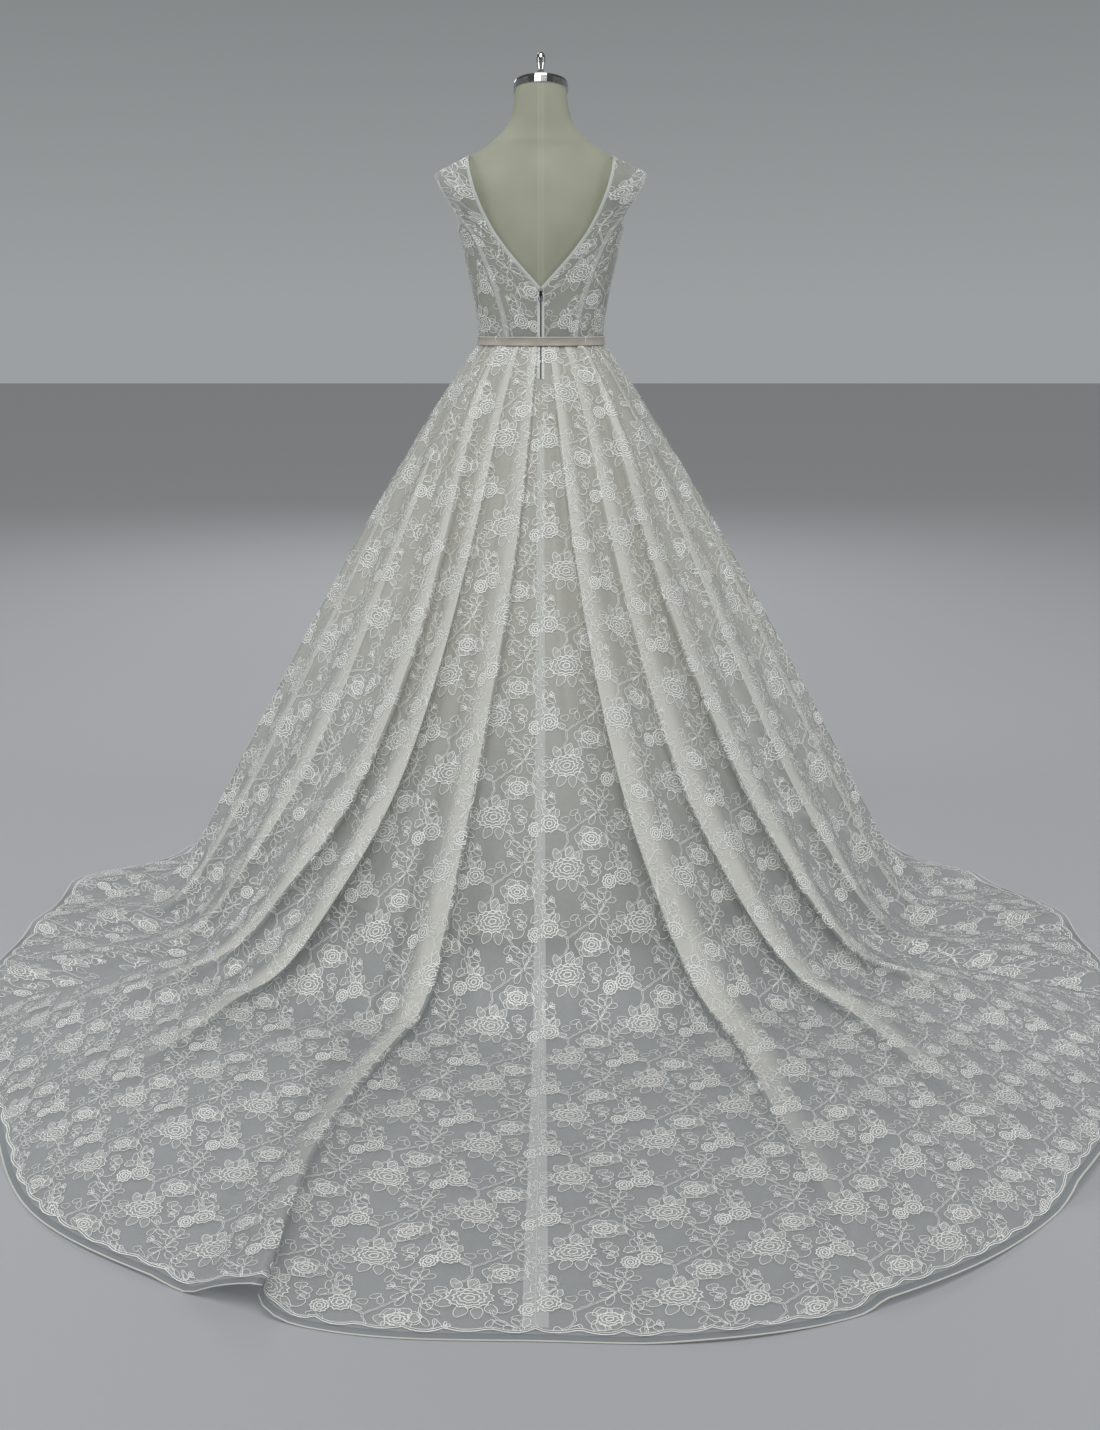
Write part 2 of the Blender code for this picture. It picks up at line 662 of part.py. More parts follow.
def make_bindings(grids, collection):
    """The neckline's band, from one side of the zip round the front to the other, and a
    band round each armhole."""
    back, side_back, side_front, front = [(grid, bodice_normals(grid)) for grid in grids]

    def column(panel, start, at, beside):
        edge = [part[start:, at] for part in panel]
        return band_points(edge, [part[start:, beside] for part in panel])

    def top_row(panel):
        return band_points([part[-1] for part in panel], [part[-2] for part in panel])

    def corner(panel):
        at = [part[UNDERARM_ROW:UNDERARM_ROW + 1, -1] for part in panel]
        across = panel[0][UNDERARM_ROW, -2] - at[0]
        down = panel[0][UNDERARM_ROW - 1, -1] - at[0]
        across /= np.linalg.norm(across)
        down /= np.linalg.norm(down)
        near = at[0] + (across + down) * BINDING_WIDTH
        places = np.stack((at[0], near)) + at[1] * CORNER_LIFT
        return places, np.stack((at[1], at[1]))

    back_open = next(i for i, row in enumerate(finer(BACK_EDGES)) if row.inner_x > 0) - 1
    front_open = next(i for i, row in enumerate(finer(FRONT_EDGES)) if row.inner_x > 0)
    fold = front_open - 1
    at, below = front[0][fold, 0], front[0][fold - 1, 0]
    near = at + (below - at) * BINDING_WIDTH * FOLD_POINT_LENGTH / np.linalg.norm(below - at)
    ahead = front[1][fold, 0] * np.array((0.0, 1.0, 1.0))
    ahead /= np.linalg.norm(ahead)
    places = np.stack((at, near + ahead * 2 * CORNER_LIFT))[:, None, :]
    centre = places, np.stack((ahead, ahead))[:, None, :]
    neck = (column(back, back_open, 0, 1), turned_round(column(front, front_open, 0, 1)), centre)
    lay_band("neckline_binding", neck, collection)
    after = UNDERARM_ROW + 1
    armhole = (
        column(back, after, -1, -2),
        turned_round(column(front, after, -1, -2)),
        corner(front),
        part_of(top_row(side_front), 1, -1),
        part_of(turned_round(top_row(side_back)), 0, -1),
        corner(back),
    )
    lay_band("armhole_binding", armhole, collection, closed=True)


def make_belt(collection):
    """A flat band round the waist. Its end passes over its start at the centre back."""
    low = CLOTH + GAP + CLOTH + BELT_CLEARANCE
    bands = []
    for out in (0.0, CLOTH):
        rows = []
        for z in (BELT_BOTTOM_Z, BELT_BOTTOM_Z + BELT_WIDTH):
            row = []
            for c in range(BELT_COLUMNS + 1):
                azimuth = -BELT_OVERLAP / 2 + (360.0 + BELT_OVERLAP) * c / BELT_COLUMNS
                over = min(max(azimuth - BELT_STEP_FROM, 0.0) / BELT_STEP_OVER, 1.0) * BELT_STEP
                base = body_read(BODICE_ROWS, "half_width", z) - WAIST_HALF_WIDTH - CLOTH - GAP
                radius = waist_radius(azimuth, low + base + out + over)
                a = math.radians(azimuth)
                row.append((radius * math.sin(a), radius * math.cos(a), z))
            rows.append(row)
        bands.append(np.array(rows))
    cloth_wall("waist_belt", bands[0], bands[1], "satin", collection)


def make_zip_chain(collection):
    """The line of the zip, laid on the two back panels and on the skirt below them."""
    low, high = CLOTH + GAP, CLOTH + GAP + ZIP_THICK
    points = []
    for z in (ZIP_TOP_Z, BODICE_ROWS[1].z, BELT_BOTTOM_Z + BELT_WIDTH, BODICE_BOTTOM_Z):
        points.append((body_read(BODICE_ROWS, "back", z), z))
    for level in (ZIP_SKIRT_LEVEL / 3, ZIP_SKIRT_LEVEL):
        radius, height, slope = skirt_profile(0.0, level)
        length = math.hypot(slope, 1.0)
        points.append((radius + (CLOTH + GAP) * slope / length, height + (CLOTH + GAP) / length))
    line = np.array([(0.0, y, z) for y, z in points])
    along = np.gradient(line, axis=0)
    normal = np.cross(along, np.array((1.0, 0.0, 0.0)))
    normal /= np.linalg.norm(normal, axis=1, keepdims=True)
    normal *= np.sign(normal[:, 1:2])
    half = np.array((ZIP_WIDTH / 2, 0.0, 0.0))
    strip = np.stack((line - half, line + half), axis=0)
    cloth_wall("zip_chain", strip + normal * low, strip + normal * high, "dark_steel", collection)


def box(name, size, centre):
    """The mesh of a box of a size, round its centre."""
    shape = bmesh.new()
    bmesh.ops.create_cube(shape, size=1.0)
    bmesh.ops.scale(shape, vec=size, verts=shape.verts)
    bmesh.ops.translate(shape, vec=centre, verts=shape.verts)
    mesh = bpy.data.meshes.new(name)
    shape.to_mesh(mesh)
    shape.free()
    return mesh


def zip_pivot():
    """Where the pull tab's top wire runs through the slider's arch."""
    chain = body_read(BODICE_ROWS, "back", SLIDER_Z) + CLOTH + GAP + ZIP_THICK
    return Vector((0.0, chain + GAP + SLIDER_SIZE.y + ARCH_SIZE.y / 2 - ARCH_SINK, SLIDER_Z))


def make_slider(collection, cutters):
    """The slider: a small plate with an arch on it that holds the pull tab."""
    pivot = zip_pivot()
    arch_y = ARCH_SIZE.y / 2 - ARCH_SINK
    plate = pivot - Vector((0.0, arch_y + SLIDER_SIZE.y / 2, 0.0))
    slider = new_object("zip_slider", box("zip_slider", SLIDER_SIZE, plate), "dark_steel", collection)
    arch = bpy.data.objects.new("slider_arch", box("slider_arch", ARCH_SIZE, pivot))
    hole_size = Vector((ARCH_SIZE.x * 2, ARCH_HOLE, ARCH_HOLE))
    hole = bpy.data.objects.new("slider_hole", box("slider_hole", hole_size, pivot))
    for helper in (arch, hole):
        helper.hide_render = True
        helper.display_type = "WIRE"
        cutters.objects.link(helper)
    soften = slider.modifiers.new("Bevel", "BEVEL")
    soften.width = SLIDER_EDGE
    for name, other, operation in (("Arch", arch, "UNION"), ("Hole", hole, "DIFFERENCE")):
        join = slider.modifiers.new(name, "BOOLEAN")
        join.object = other
        join.operation = operation
        join.solver = "EXACT"


def make_pull(collection):
    """The pull tab: a ring of wire, narrow where it runs through the arch."""
    pivot = zip_pivot()
    outline = [(-PULL_TOP_WIDTH / 2, 0.0), (0.0, 0.0), (PULL_TOP_WIDTH / 2, 0.0)]
    middle_z = -PULL_LENGTH + PULL_WIDTH / 2
    for step in range(PULL_STEPS + 1):
        angle = math.pi * step / PULL_STEPS
        outline.append((PULL_WIDTH / 2 * math.cos(angle), middle_z - PULL_WIDTH / 2 * math.sin(angle)))
    curve = bpy.data.curves.new("zip_pull", "CURVE")
    curve.dimensions = "3D"
    curve.bevel_depth = PULL_WIRE
    curve.bevel_resolution = 1
    spline = curve.splines.new("POLY")
    spline.points.add(len(outline) - 1)
    for point, (x, z) in zip(spline.points, outline):
        point.co = (x, 0.0, z, 1.0)
    spline.use_cyclic_u = True
    curve.materials.append(material("steel"))
    pull = bpy.data.objects.new("zip_pull", curve)
    pull.location = pivot
    collection.objects.link(pull)


def make_torso(collection):
    """The form's body and neck, closed at the hip and at the neck."""
    shape = bmesh.new()
    rings = []
    for row in FORM_ROWS:
        ring = []
        neck = max(row.z - NECK_Z, 0.0)
        share = neck / (FORM_ROWS[-1].z - NECK_Z)
        for c in range(FORM_COLUMNS):
            angle = 360.0 * c / FORM_COLUMNS
            face = 1 if math.cos(math.radians(angle)) >= 0 else -1
            x, y, z = body_point(FORM_ROWS, angle, row.z, face)
            x *= 1 if angle <= 180 else -1
            z += share * math.tan(math.radians(NECK_TILT)) * y
            ring.append(shape.verts.new((x, y - neck * math.tan(math.radians(NECK_TILT)), z)))
        rings.append(ring)
    for low, high in zip(rings, rings[1:]):
        for c in range(FORM_COLUMNS):
            d = (c + 1) % FORM_COLUMNS
            shape.faces.new((low[c], low[d], high[d], high[c]))
    shape.faces.new(rings[0])
    shape.faces.new(rings[-1])
    bmesh.ops.recalc_face_normals(shape, faces=shape.faces)
    mesh = bpy.data.meshes.new("form_torso")
    shape.to_mesh(mesh)
    shape.free()
    mesh.shade_smooth()
    mesh.set_sharp_from_angle(angle=math.radians(50))
    new_object("form_torso", mesh, "linen", collection)


def turned(name, profile, look, collection, parent=None, lift=0.0):
    """A round piece: a profile of (radius, height), outer side down, turned about Z."""
    shape = bmesh.new()
    verts = [shape.verts.new((radius, 0.0, height)) for radius, height in profile]
    for a, b in zip(verts, verts[1:]):
        shape.edges.new((a, b))
    mesh = bpy.data.meshes.new(name)
    shape.to_mesh(mesh)
    shape.free()
    made = new_object(name, mesh, look, collection)
    screw = made.modifiers.new("Screw", "SCREW")
    screw.steps = TURNED_STEPS
    screw.render_steps = TURNED_STEPS
    screw.use_merge_vertices = True
    screw.merge_threshold = 0.0001
    screw.use_smooth_shade = True
    made.location.z = lift
    made.parent = parent
    return made


def make_neck_top(collection):
    """The steel cap on the neck and the finial on it, both on the neck's own slant."""
    seat = bpy.data.objects.new("neck_top", None)
    lean = (FORM_ROWS[-1].z - NECK_Z) * math.tan(math.radians(NECK_TILT))
    seat.location = (0.0, -lean, FORM_ROWS[-1].z)
    seat.rotation_euler = (math.radians(NECK_TILT), 0.0, 0.0)
    collection.objects.link(seat)
    edge = TURNED_EDGE
    cap = (
        (0.0, CAP_THICK),
        (CAP_RADIUS - 2 * edge, CAP_THICK),
        (CAP_RADIUS - edge / 2, CAP_THICK - edge / 2),
        (CAP_RADIUS, CAP_THICK - 2 * edge),
        (CAP_RADIUS, edge / 2),
        (CAP_RADIUS - edge / 2, 0.0),
        (0.0, 0.0),
    )
    turned("form_neck_cap", cap, "steel", collection, seat, GAP)
    turned("form_finial", FINIAL_PROFILE, "steel", collection, seat, CAP_THICK + 2 * GAP)


def make_stand(collection):
    edge = TURNED_EDGE
    base = (
        (0.0, BASE_THICK),
        (BASE_RADIUS - edge, BASE_THICK),
        (BASE_RADIUS, BASE_THICK - edge),
        (BASE_RADIUS, 0.0),
        (0.0, 0.0),
    )
    turned("stand_base", base, "painted", collection)
    top = FORM_ROWS[0].z - GAP
    bottom = BASE_THICK + GAP
    pole = (
        (0.0, top),
        (COLLAR_RADIUS, top),
        (COLLAR_RADIUS, top - edge * 2),
        (POLE_RADIUS, top - edge * 8),
        (POLE_RADIUS, bottom + edge * 12),
        (COLLAR_RADIUS, bottom + edge * 4),
        (COLLAR_RADIUS, bottom),
        (0.0, bottom),
    )
    turned("stand_pole", pole, "steel", collection)


def main():
    clear_scene()
    dress = bpy.data.collections.new("wedding_dress_on_form")
    cutters = bpy.data.collections.new("cutters")
    for group in (dress, cutters):
        bpy.context.scene.collection.children.link(group)
    cutters.hide_render = True
    make_stand(dress)
    make_torso(dress)
    make_neck_top(dress)
    make_lining(dress)
    make_skirts(dress)
    make_bindings(make_bodice(dress), dress)
    make_belt(dress)
    make_zip_chain(dress)
    make_slider(dress, cutters)
    make_pull(dress)


if __name__ == "__main__":
    main()
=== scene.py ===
"""The looks of a lace wedding dress with a train, worn on a limbless dress form.

Metres, angles in degrees. The wearer faces -Y, so the train runs out to +Y. An azimuth is
0 at the centre back and grows towards the wearer's left, +X.
"""

import math
from collections import namedtuple

import bmesh
import bpy
import numpy as np
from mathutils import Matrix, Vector


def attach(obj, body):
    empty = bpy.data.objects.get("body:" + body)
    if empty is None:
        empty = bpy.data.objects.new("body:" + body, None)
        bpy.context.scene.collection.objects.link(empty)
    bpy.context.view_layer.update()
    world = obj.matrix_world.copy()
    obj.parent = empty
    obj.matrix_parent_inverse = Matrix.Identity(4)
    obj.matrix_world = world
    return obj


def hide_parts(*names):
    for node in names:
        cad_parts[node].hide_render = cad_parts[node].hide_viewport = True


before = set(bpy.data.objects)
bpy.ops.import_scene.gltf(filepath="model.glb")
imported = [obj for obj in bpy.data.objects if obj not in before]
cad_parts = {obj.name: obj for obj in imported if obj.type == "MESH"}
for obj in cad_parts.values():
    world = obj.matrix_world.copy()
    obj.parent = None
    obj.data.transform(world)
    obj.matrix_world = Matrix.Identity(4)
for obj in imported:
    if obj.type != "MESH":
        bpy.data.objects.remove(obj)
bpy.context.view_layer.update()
BODY = "dress_and_form"

# Sizes of the pattern, as the solids have them
WAIST_SEAM_Z = 1.075
WAIST_HALF_WIDTH = 0.115
WAIST_HALF_DEPTH = 0.0875
BACK_V_Z = 1.177
FRONT_V_Z = 1.232
CLOTH = 0.0012
GAP = 0.0003
BODY_ROUNDNESS = 2.4
NECK_Z = 1.44
NECK_TILT = 14.0
ZIP_TOP_Z = 1.168
ZIP_SKIRT_LEVEL = 0.045
BELT_CLEARANCE = 0.0019
BELT_OVERLAP = 9.0
BELT_STEP = 0.0016
BELT_STEP_FROM = 320.0
BELT_STEP_OVER = 30.0
CONE_POWER = 1.1
FLOOR_FILLET = 0.14
CONE_SLOPE = 1.8
UNDERSKIRT_EXTRA = 0.012
LINING_HEM_Z = 0.04
LINING_HEM_RADIUS = 0.46

OutlineRow = namedtuple("OutlineRow", "azimuth foot hem")
OUTLINE = (
    OutlineRow(-150, 0.620, 0.655),
    OutlineRow(-120, 0.670, 0.700),
    OutlineRow(-100, 0.700, 0.765),
    OutlineRow(-88, 0.715, 0.870),
    OutlineRow(-80, 0.720, 0.985),
    OutlineRow(-68, 0.730, 1.075),
    OutlineRow(-50, 0.738, 1.225),
    OutlineRow(-36, 0.740, 1.366),
    OutlineRow(-27, 0.740, 1.455),
    OutlineRow(-18, 0.740, 1.525),
    OutlineRow(-9, 0.740, 1.560),
    OutlineRow(0, 0.740, 1.545),
    OutlineRow(9, 0.740, 1.545),
    OutlineRow(18, 0.740, 1.500),
    OutlineRow(27, 0.740, 1.440),
    OutlineRow(37, 0.740, 1.305),
    OutlineRow(50, 0.738, 1.190),
    OutlineRow(63, 0.733, 1.080),
    OutlineRow(76, 0.724, 0.975),
    OutlineRow(86, 0.716, 0.930),
    OutlineRow(95, 0.706, 0.800),
    OutlineRow(120, 0.670, 0.700),
    OutlineRow(150, 0.620, 0.655),
    OutlineRow(180, 0.600, 0.640),
)

FOLD_LEVELS = (0.0, 0.35, 0.7, 1.0, 1.5, 2.0)
Fold = namedtuple("Fold", "name azimuths heights_mm valley_after")
FOLDS = (
    Fold("front_right", (-171, -170, -169, -168, -168, -168), (1, 8, 14, 14, 10, 6), 0.40),
    Fold("side_front_right", (-153, -149, -147, -146, -146, -146), (1, 11, 18, 18, 12, 8), 0.35),
    Fold("side_front_right_2", (-133, -128, -124, -122, -122, -122), (1, 10, 16, 18, 14, 10), 0.35),
    Fold("side_right", (-113, -106, -102, -101, -101, -101), (1, 11, 18, 20, 16, 10), 0.30),
    Fold("side_right_2", (-94, -86, -83, -83, -86, -87), (1, 11, 20, 24, 20, 14), 0.30),
    Fold("side_back_right", (-76, -67, -65, -68, -72, -74), (1, 11, 18, 24, 18, 12), 0.30),
    Fold("side_back_right_2", (-58, -50, -50, -56, -60, -61), (1, 13, 20, 24, 16, 10), 0.30),
    Fold("outer_right", (-42, -34.5, -38, -46, -47, -48), (1, 20, 30, 34, 22, 14), 0.25),
    Fold("middle_right", (-26, -23, -26, -35, -33, -30.5), (1, 9, 20, 36, 28, 20), 0.20),
    Fold("inner_right", (-9, -11, -16, -21.5, -18, -15.5), (1, 18, 34, 36, 22, 12), 0.20),
    Fold("crease_right", (-4, -4.5, -7.5, -11.5, -9, -8), (0.5, 3, 8, 9, 6, 4), 0.50),
    Fold("centre_back_seam", (0, 0, 0, 0, 0, 0), (0, 0, 0, 0, 0, 0), 0.75),
    Fold("inner_left", (4, 8, 13.2, 15.5, 16, 13.5), (1, 18, 34, 36, 34, 44), 0.60),
    Fold("crease_left", (12, 15, 18.5, 21.5, 19, 18), (0.5, 4, 8, 16, 9, 5), 0.70),
    Fold("middle_left", (24, 22, 26.5, 36.5, 34.5, 36), (1, 14, 30, 40, 28, 14), 0.65),
    Fold("outer_left", (42, 31, 33, 46, 47, 47), (1, 18, 24, 24, 16, 10), 0.65),
    Fold("side_back_left", (58, 48, 47, 56, 58, 59), (1, 12, 20, 22, 16, 12), 0.70),
    Fold("side_back_left_2", (75, 64, 62, 67, 70, 72), (1, 12, 18, 24, 20, 12), 0.70),
    Fold("side_left", (93, 83, 80, 80, 83, 84), (1, 11, 20, 24, 20, 14), 0.70),
    Fold("side_left_2", (112, 104, 100, 99, 99, 99), (1, 11, 18, 20, 14, 10), 0.65),
    Fold("side_front_left", (132, 127, 124, 122, 122, 122), (1, 10, 17, 18, 14, 10), 0.65),
    Fold("side_front_left_2", (152, 149, 147, 146, 146, 146), (1, 11, 18, 18, 12, 8), 0.60),
    Fold("front_left", (170, 170, 169, 168, 168, 168), (1, 8, 14, 14, 10, 6), 0.50),
)

BodyRow = namedtuple("BodyRow", "z half_width back front")
BODICE_ROWS = (
    BodyRow(WAIST_SEAM_Z + GAP, 0.1165, 0.0890, 0.0885),
    BodyRow(1.130, 0.1225, 0.0920, 0.0960),
    BodyRow(1.190, 0.1340, 0.0950, 0.1120),
    BodyRow(1.232, 0.1430, 0.0965, 0.1230),
    BodyRow(1.275, 0.1530, 0.0970, 0.1270),
    BodyRow(1.300, 0.1610, 0.0960, 0.1240),
    BodyRow(1.330, 0.1820, 0.0930, 0.1160),
    BodyRow(1.355, 0.1990, 0.0880, 0.1050),
    BodyRow(1.382, 0.1990, 0.0780, 0.0880),
    BodyRow(1.400, 0.1640, 0.0700, 0.0740),
    BodyRow(1.416, 0.1330, 0.0620, 0.0600),
)
FORM_ROWS = (
    BodyRow(0.800, 0.1500, 0.1120, 0.1060),
    BodyRow(0.880, 0.1630, 0.1220, 0.1120),
    BodyRow(0.920, 0.1580, 0.1170, 0.1080),
    BodyRow(0.960, 0.1470, 0.1080, 0.1030),
    BodyRow(1.000, 0.1320, 0.0970, 0.0960),
    BodyRow(1.040, 0.1160, 0.0870, 0.0870),
    BodyRow(1.075, 0.1090, 0.0820, 0.0815),
    BodyRow(1.130, 0.1210, 0.0910, 0.0940),
    BodyRow(1.190, 0.1290, 0.0905, 0.1070),
    BodyRow(1.232, 0.1380, 0.0920, 0.1180),
    BodyRow(1.275, 0.1470, 0.0925, 0.1220),
    BodyRow(1.300, 0.1500, 0.0915, 0.1190),
    BodyRow(1.330, 0.1560, 0.0880, 0.1110),
    BodyRow(1.355, 0.1610, 0.0820, 0.1000),
    BodyRow(1.376, 0.1630, 0.0730, 0.0830),
    BodyRow(1.391, 0.1550, 0.0650, 0.0690),
    BodyRow(1.406, 0.1410, 0.0580, 0.0580),
    BodyRow(1.417, 0.1250, 0.0540, 0.0520),
    BodyRow(1.426, 0.1080, 0.0515, 0.0490),
    BodyRow(1.441, 0.0880, 0.0500, 0.0450),
    BodyRow(1.457, 0.0705, 0.0490, 0.0450),
    BodyRow(1.475, 0.0590, 0.0490, 0.0460),
    BodyRow(1.500, 0.0515, 0.0480, 0.0465),
    BodyRow(1.528, 0.0480, 0.0475, 0.0475),
)

EdgeRow = namedtuple("EdgeRow", "inner_x inner_z outer_x outer_z")
BODICE_BOTTOM_Z = WAIST_SEAM_Z + GAP
BACK_EDGES = (
    EdgeRow(0.0, BODICE_BOTTOM_Z, 0.066, BODICE_BOTTOM_Z),
    EdgeRow(0.0, 1.128, 0.075, 1.128),
    EdgeRow(0.0, BACK_V_Z, 0.089, 1.177),
    EdgeRow(0.028, 1.207, 0.101, 1.210),
    EdgeRow(0.056, 1.238, 0.114, 1.242),
    EdgeRow(0.084, 1.275, 0.130, 1.275),
    EdgeRow(0.106, 1.315, 0.151, 1.300),
    EdgeRow(0.122, 1.355, 0.169, 1.326),
    EdgeRow(0.131, 1.391, 0.186, 1.353),
    EdgeRow(0.133, 1.416, 0.199, 1.382),
)
FRONT_EDGES = (
    EdgeRow(0.0, BODICE_BOTTOM_Z, 0.060, BODICE_BOTTOM_Z),
    EdgeRow(0.0, 1.128, 0.068, 1.128),
    EdgeRow(0.0, 1.180, 0.082, 1.180),
    EdgeRow(0.0, FRONT_V_Z, 0.098, 1.216),
    EdgeRow(0.030, 1.262, 0.114, 1.246),
    EdgeRow(0.058, 1.290, 0.130, 1.275),
    EdgeRow(0.084, 1.319, 0.149, 1.300),
    EdgeRow(0.107, 1.353, 0.167, 1.326),
    EdgeRow(0.125, 1.388, 0.185, 1.353),
    EdgeRow(0.133, 1.416, 0.199, 1.382),
)
UNDERARM_ROW = 10
UNDERARM_Z = 1.283
BINDING_WIDTH = 0.0065
BINDING = 0.0008

# Belt and zip
BELT_BOTTOM_Z = 1.0757
BELT_WIDTH = 0.0122

# The skirt's levels run from 0 at the waist to 1 where the cone would meet the floor, and
# from there to 2 at the lace hem.
def smooth_read(xs, ys, x):
    """Reads a table at x along a smooth curve through its points."""
    xs = np.asarray(xs, float)
    ys = np.asarray(ys, float)
    slopes = np.gradient(ys, xs)
    x = np.clip(x, xs[0], xs[-1])
    i = np.clip(np.searchsorted(xs, x) - 1, 0, len(xs) - 2)
    width = xs[i + 1] - xs[i]
    t = (x - xs[i]) / width
    rise = (2 * t**3 - 3 * t**2 + 1) * ys[i] + (3 * t**2 - 2 * t**3) * ys[i + 1]
    return rise + width * ((t**3 - 2 * t**2 + t) * slopes[i] + (t**3 - t**2) * slopes[i + 1])


# How far a fold's ridge leans over its steep side, as a share of its height.
CREST_LEAN = 0.75


def outline_read(column, azimuth):
    """The foot or hem radius at azimuths, read round the closed outline."""
    rows = OUTLINE[-3:] + OUTLINE + OUTLINE[:3]
    turns = (-360,) * 3 + (0,) * len(OUTLINE) + (360,) * 3
    azimuths = [row.azimuth + turn for row, turn in zip(rows, turns)]
    wrapped = (azimuth + 180.0) % 360.0 - 180.0
    return smooth_read(azimuths, [getattr(row, column) for row in rows], wrapped)


def waist_radius(azimuth, outset=0.0):
    """The waist's radius at azimuths, with something added all round."""
    a = np.radians(azimuth)
    wide = np.abs(np.sin(a)) / (WAIST_HALF_WIDTH + outset)
    deep = np.abs(np.cos(a)) / (WAIST_HALF_DEPTH + outset)
    return (wide**BODY_ROUNDNESS + deep**BODY_ROUNDNESS) ** (-1.0 / BODY_ROUNDNESS)


def skirt_points(azimuth, level, lift):
    """Points of the skirt, lifted off its lowest surface at right angles."""
    waist = waist_radius(azimuth)
    foot = outline_read("foot", azimuth)
    hem = outline_read("hem", azimuth)
    radius = np.where(level > 1, foot + (hem - foot) * (level - 1), waist + (foot - waist) * level)
    share = np.maximum((radius - waist) / (foot - waist), 0.0)
    cone = WAIST_SEAM_Z * (1 - share**CONE_POWER)
    soft = np.clip((cone + FLOOR_FILLET) / (2 * FLOOR_FILLET), 0.0, 1.0)
    height = np.where(cone > FLOOR_FILLET, cone, FLOOR_FILLET * soft**2)
    slope = CONE_SLOPE * soft
    length = np.hypot(slope, 1.0)
    radius = radius + lift * slope / length
    height = height + lift / length
    a = np.radians(azimuth)
    return np.stack((radius * np.sin(a), radius * np.cos(a), height), axis=-1)


def fold_rows(levels):
    """Each fold's azimuth and height at each level, with the first fold again at the end."""
    azimuths = [smooth_read(FOLD_LEVELS, fold.azimuths, levels) for fold in FOLDS]
    heights = [smooth_read(FOLD_LEVELS, fold.heights_mm, levels) / 1000 for fold in FOLDS]
    azimuths = np.array(azimuths + [azimuths[0] + 360.0]).T
    return azimuths, np.maximum(np.array(heights + [heights[0]]).T, 0.0)


def fold_side(share, width):
    """A fold's height from its valley, 0, to its ridge, 1. The narrow side rises late and
    steeply to a crisp edge, and the wide side rises in a soft round."""
    soft = 0.5 - 0.5 * np.cos(np.pi * share)
    steep = 0.75 * share**2.6 + 0.25 * soft
    return np.where(width < 0.45, steep, soft)


def folded(places, levels):
    """The folded skirt at fold places (a fold's number and the share of the way to the
    next) and levels, as a grid of points."""
    azimuths, heights = fold_rows(levels)
    turn, place = np.divmod(np.asarray(places, float), len(FOLDS))
    number = np.floor(place).astype(int)
    share = place - number
    valley = np.array([fold.valley_after for fold in FOLDS])[number]
    here, there = azimuths[:, number], azimuths[:, number + 1]
    azimuth = here + (there - here) * share + 360.0 * turn
    down = fold_side(1 - np.clip(share / valley, 0, 1), valley)
    up = fold_side(np.clip((share - valley) / (1 - valley), 0, 1), 1 - valley)
    lift = heights[:, number] * down + heights[:, number + 1] * up
    side = np.sign(azimuths[:, number] + azimuths[:, number + 1]) * (np.abs(azimuth) < 110)
    radius = np.interp(levels, (0.0, 1.0, 2.0), (0.1, 0.74, 1.4))[:, None]
    azimuth = azimuth - side * np.degrees(CREST_LEAN * lift**2 / 0.036 / radius)
    lift = lift + creases(azimuth, levels[:, None])
    grid = skirt_points(azimuth, np.broadcast_to(levels[:, None], azimuth.shape), lift)
    grid[levels == 0.0, :, 2] = WAIST_SEAM_Z
    return grid


# Small creases between the folds: azimuths at the first, middle and last level, the first
# and last level, the height and the half width.
Crease = namedtuple("Crease", "azimuths first last height_mm half_mm")
CREASES = (
    Crease((7.0, 9.0, 10.5), 0.75, 1.7, 9, 26),
    Crease((3.5, 4.0, 5.0), 0.8, 1.6, 5, 18),
    Crease((-3.0, -4.5, -5.5), 0.7, 1.5, 6, 20),
    Crease((-14.0, -17.5, -19.0), 0.25, 0.8, 5, 16),
    Crease((18.0, 20.0, 22.0), 0.25, 0.8, 6, 18),
    Crease((29.0, 31.0, 34.0), 0.5, 1.3, 7, 22),
    Crease((-30.0, -33.0, -39.0), 0.5, 1.4, 7, 22),
    Crease((40.0, 41.0, 52.0), 0.4, 1.6, 8, 24),
    Crease((-40.0, -44.0, -53.0), 0.4, 1.6, 8, 24),
    Crease((54.0, 52.0, 64.0), 0.3, 1.8, 7, 22),
    Crease((-56.0, -55.0, -68.0), 0.3, 1.8, 7, 22),
    Crease((70.0, 67.0, 77.0), 0.2, 1.8, 6, 20),
    Crease((-72.0, -70.0, -80.0), 0.2, 1.8, 6, 20),
    Crease((24.0, 26.0, 27.0), 1.15, 2.0, 7, 40),
    Crease((-24.0, -25.0, -24.0), 1.15, 2.0, 8, 40),
    Crease((-3.0, -3.0, -2.0), 1.5, 2.0, 8, 45),
    Crease((6.0, 5.0, 4.0), 1.5, 2.0, 9, 40),
    Crease((54.0, 51.5, 51.0), 0.0, 0.32, 7, 8),
    Crease((43.0, 41.5, 40.0), 0.0, 0.32, 7, 8),
    Crease((-54.0, -51.5, -51.0), 0.0, 0.32, 7, 8),
    Crease((-43.0, -41.5, -40.0), 0.0, 0.32, 7, 8),
)


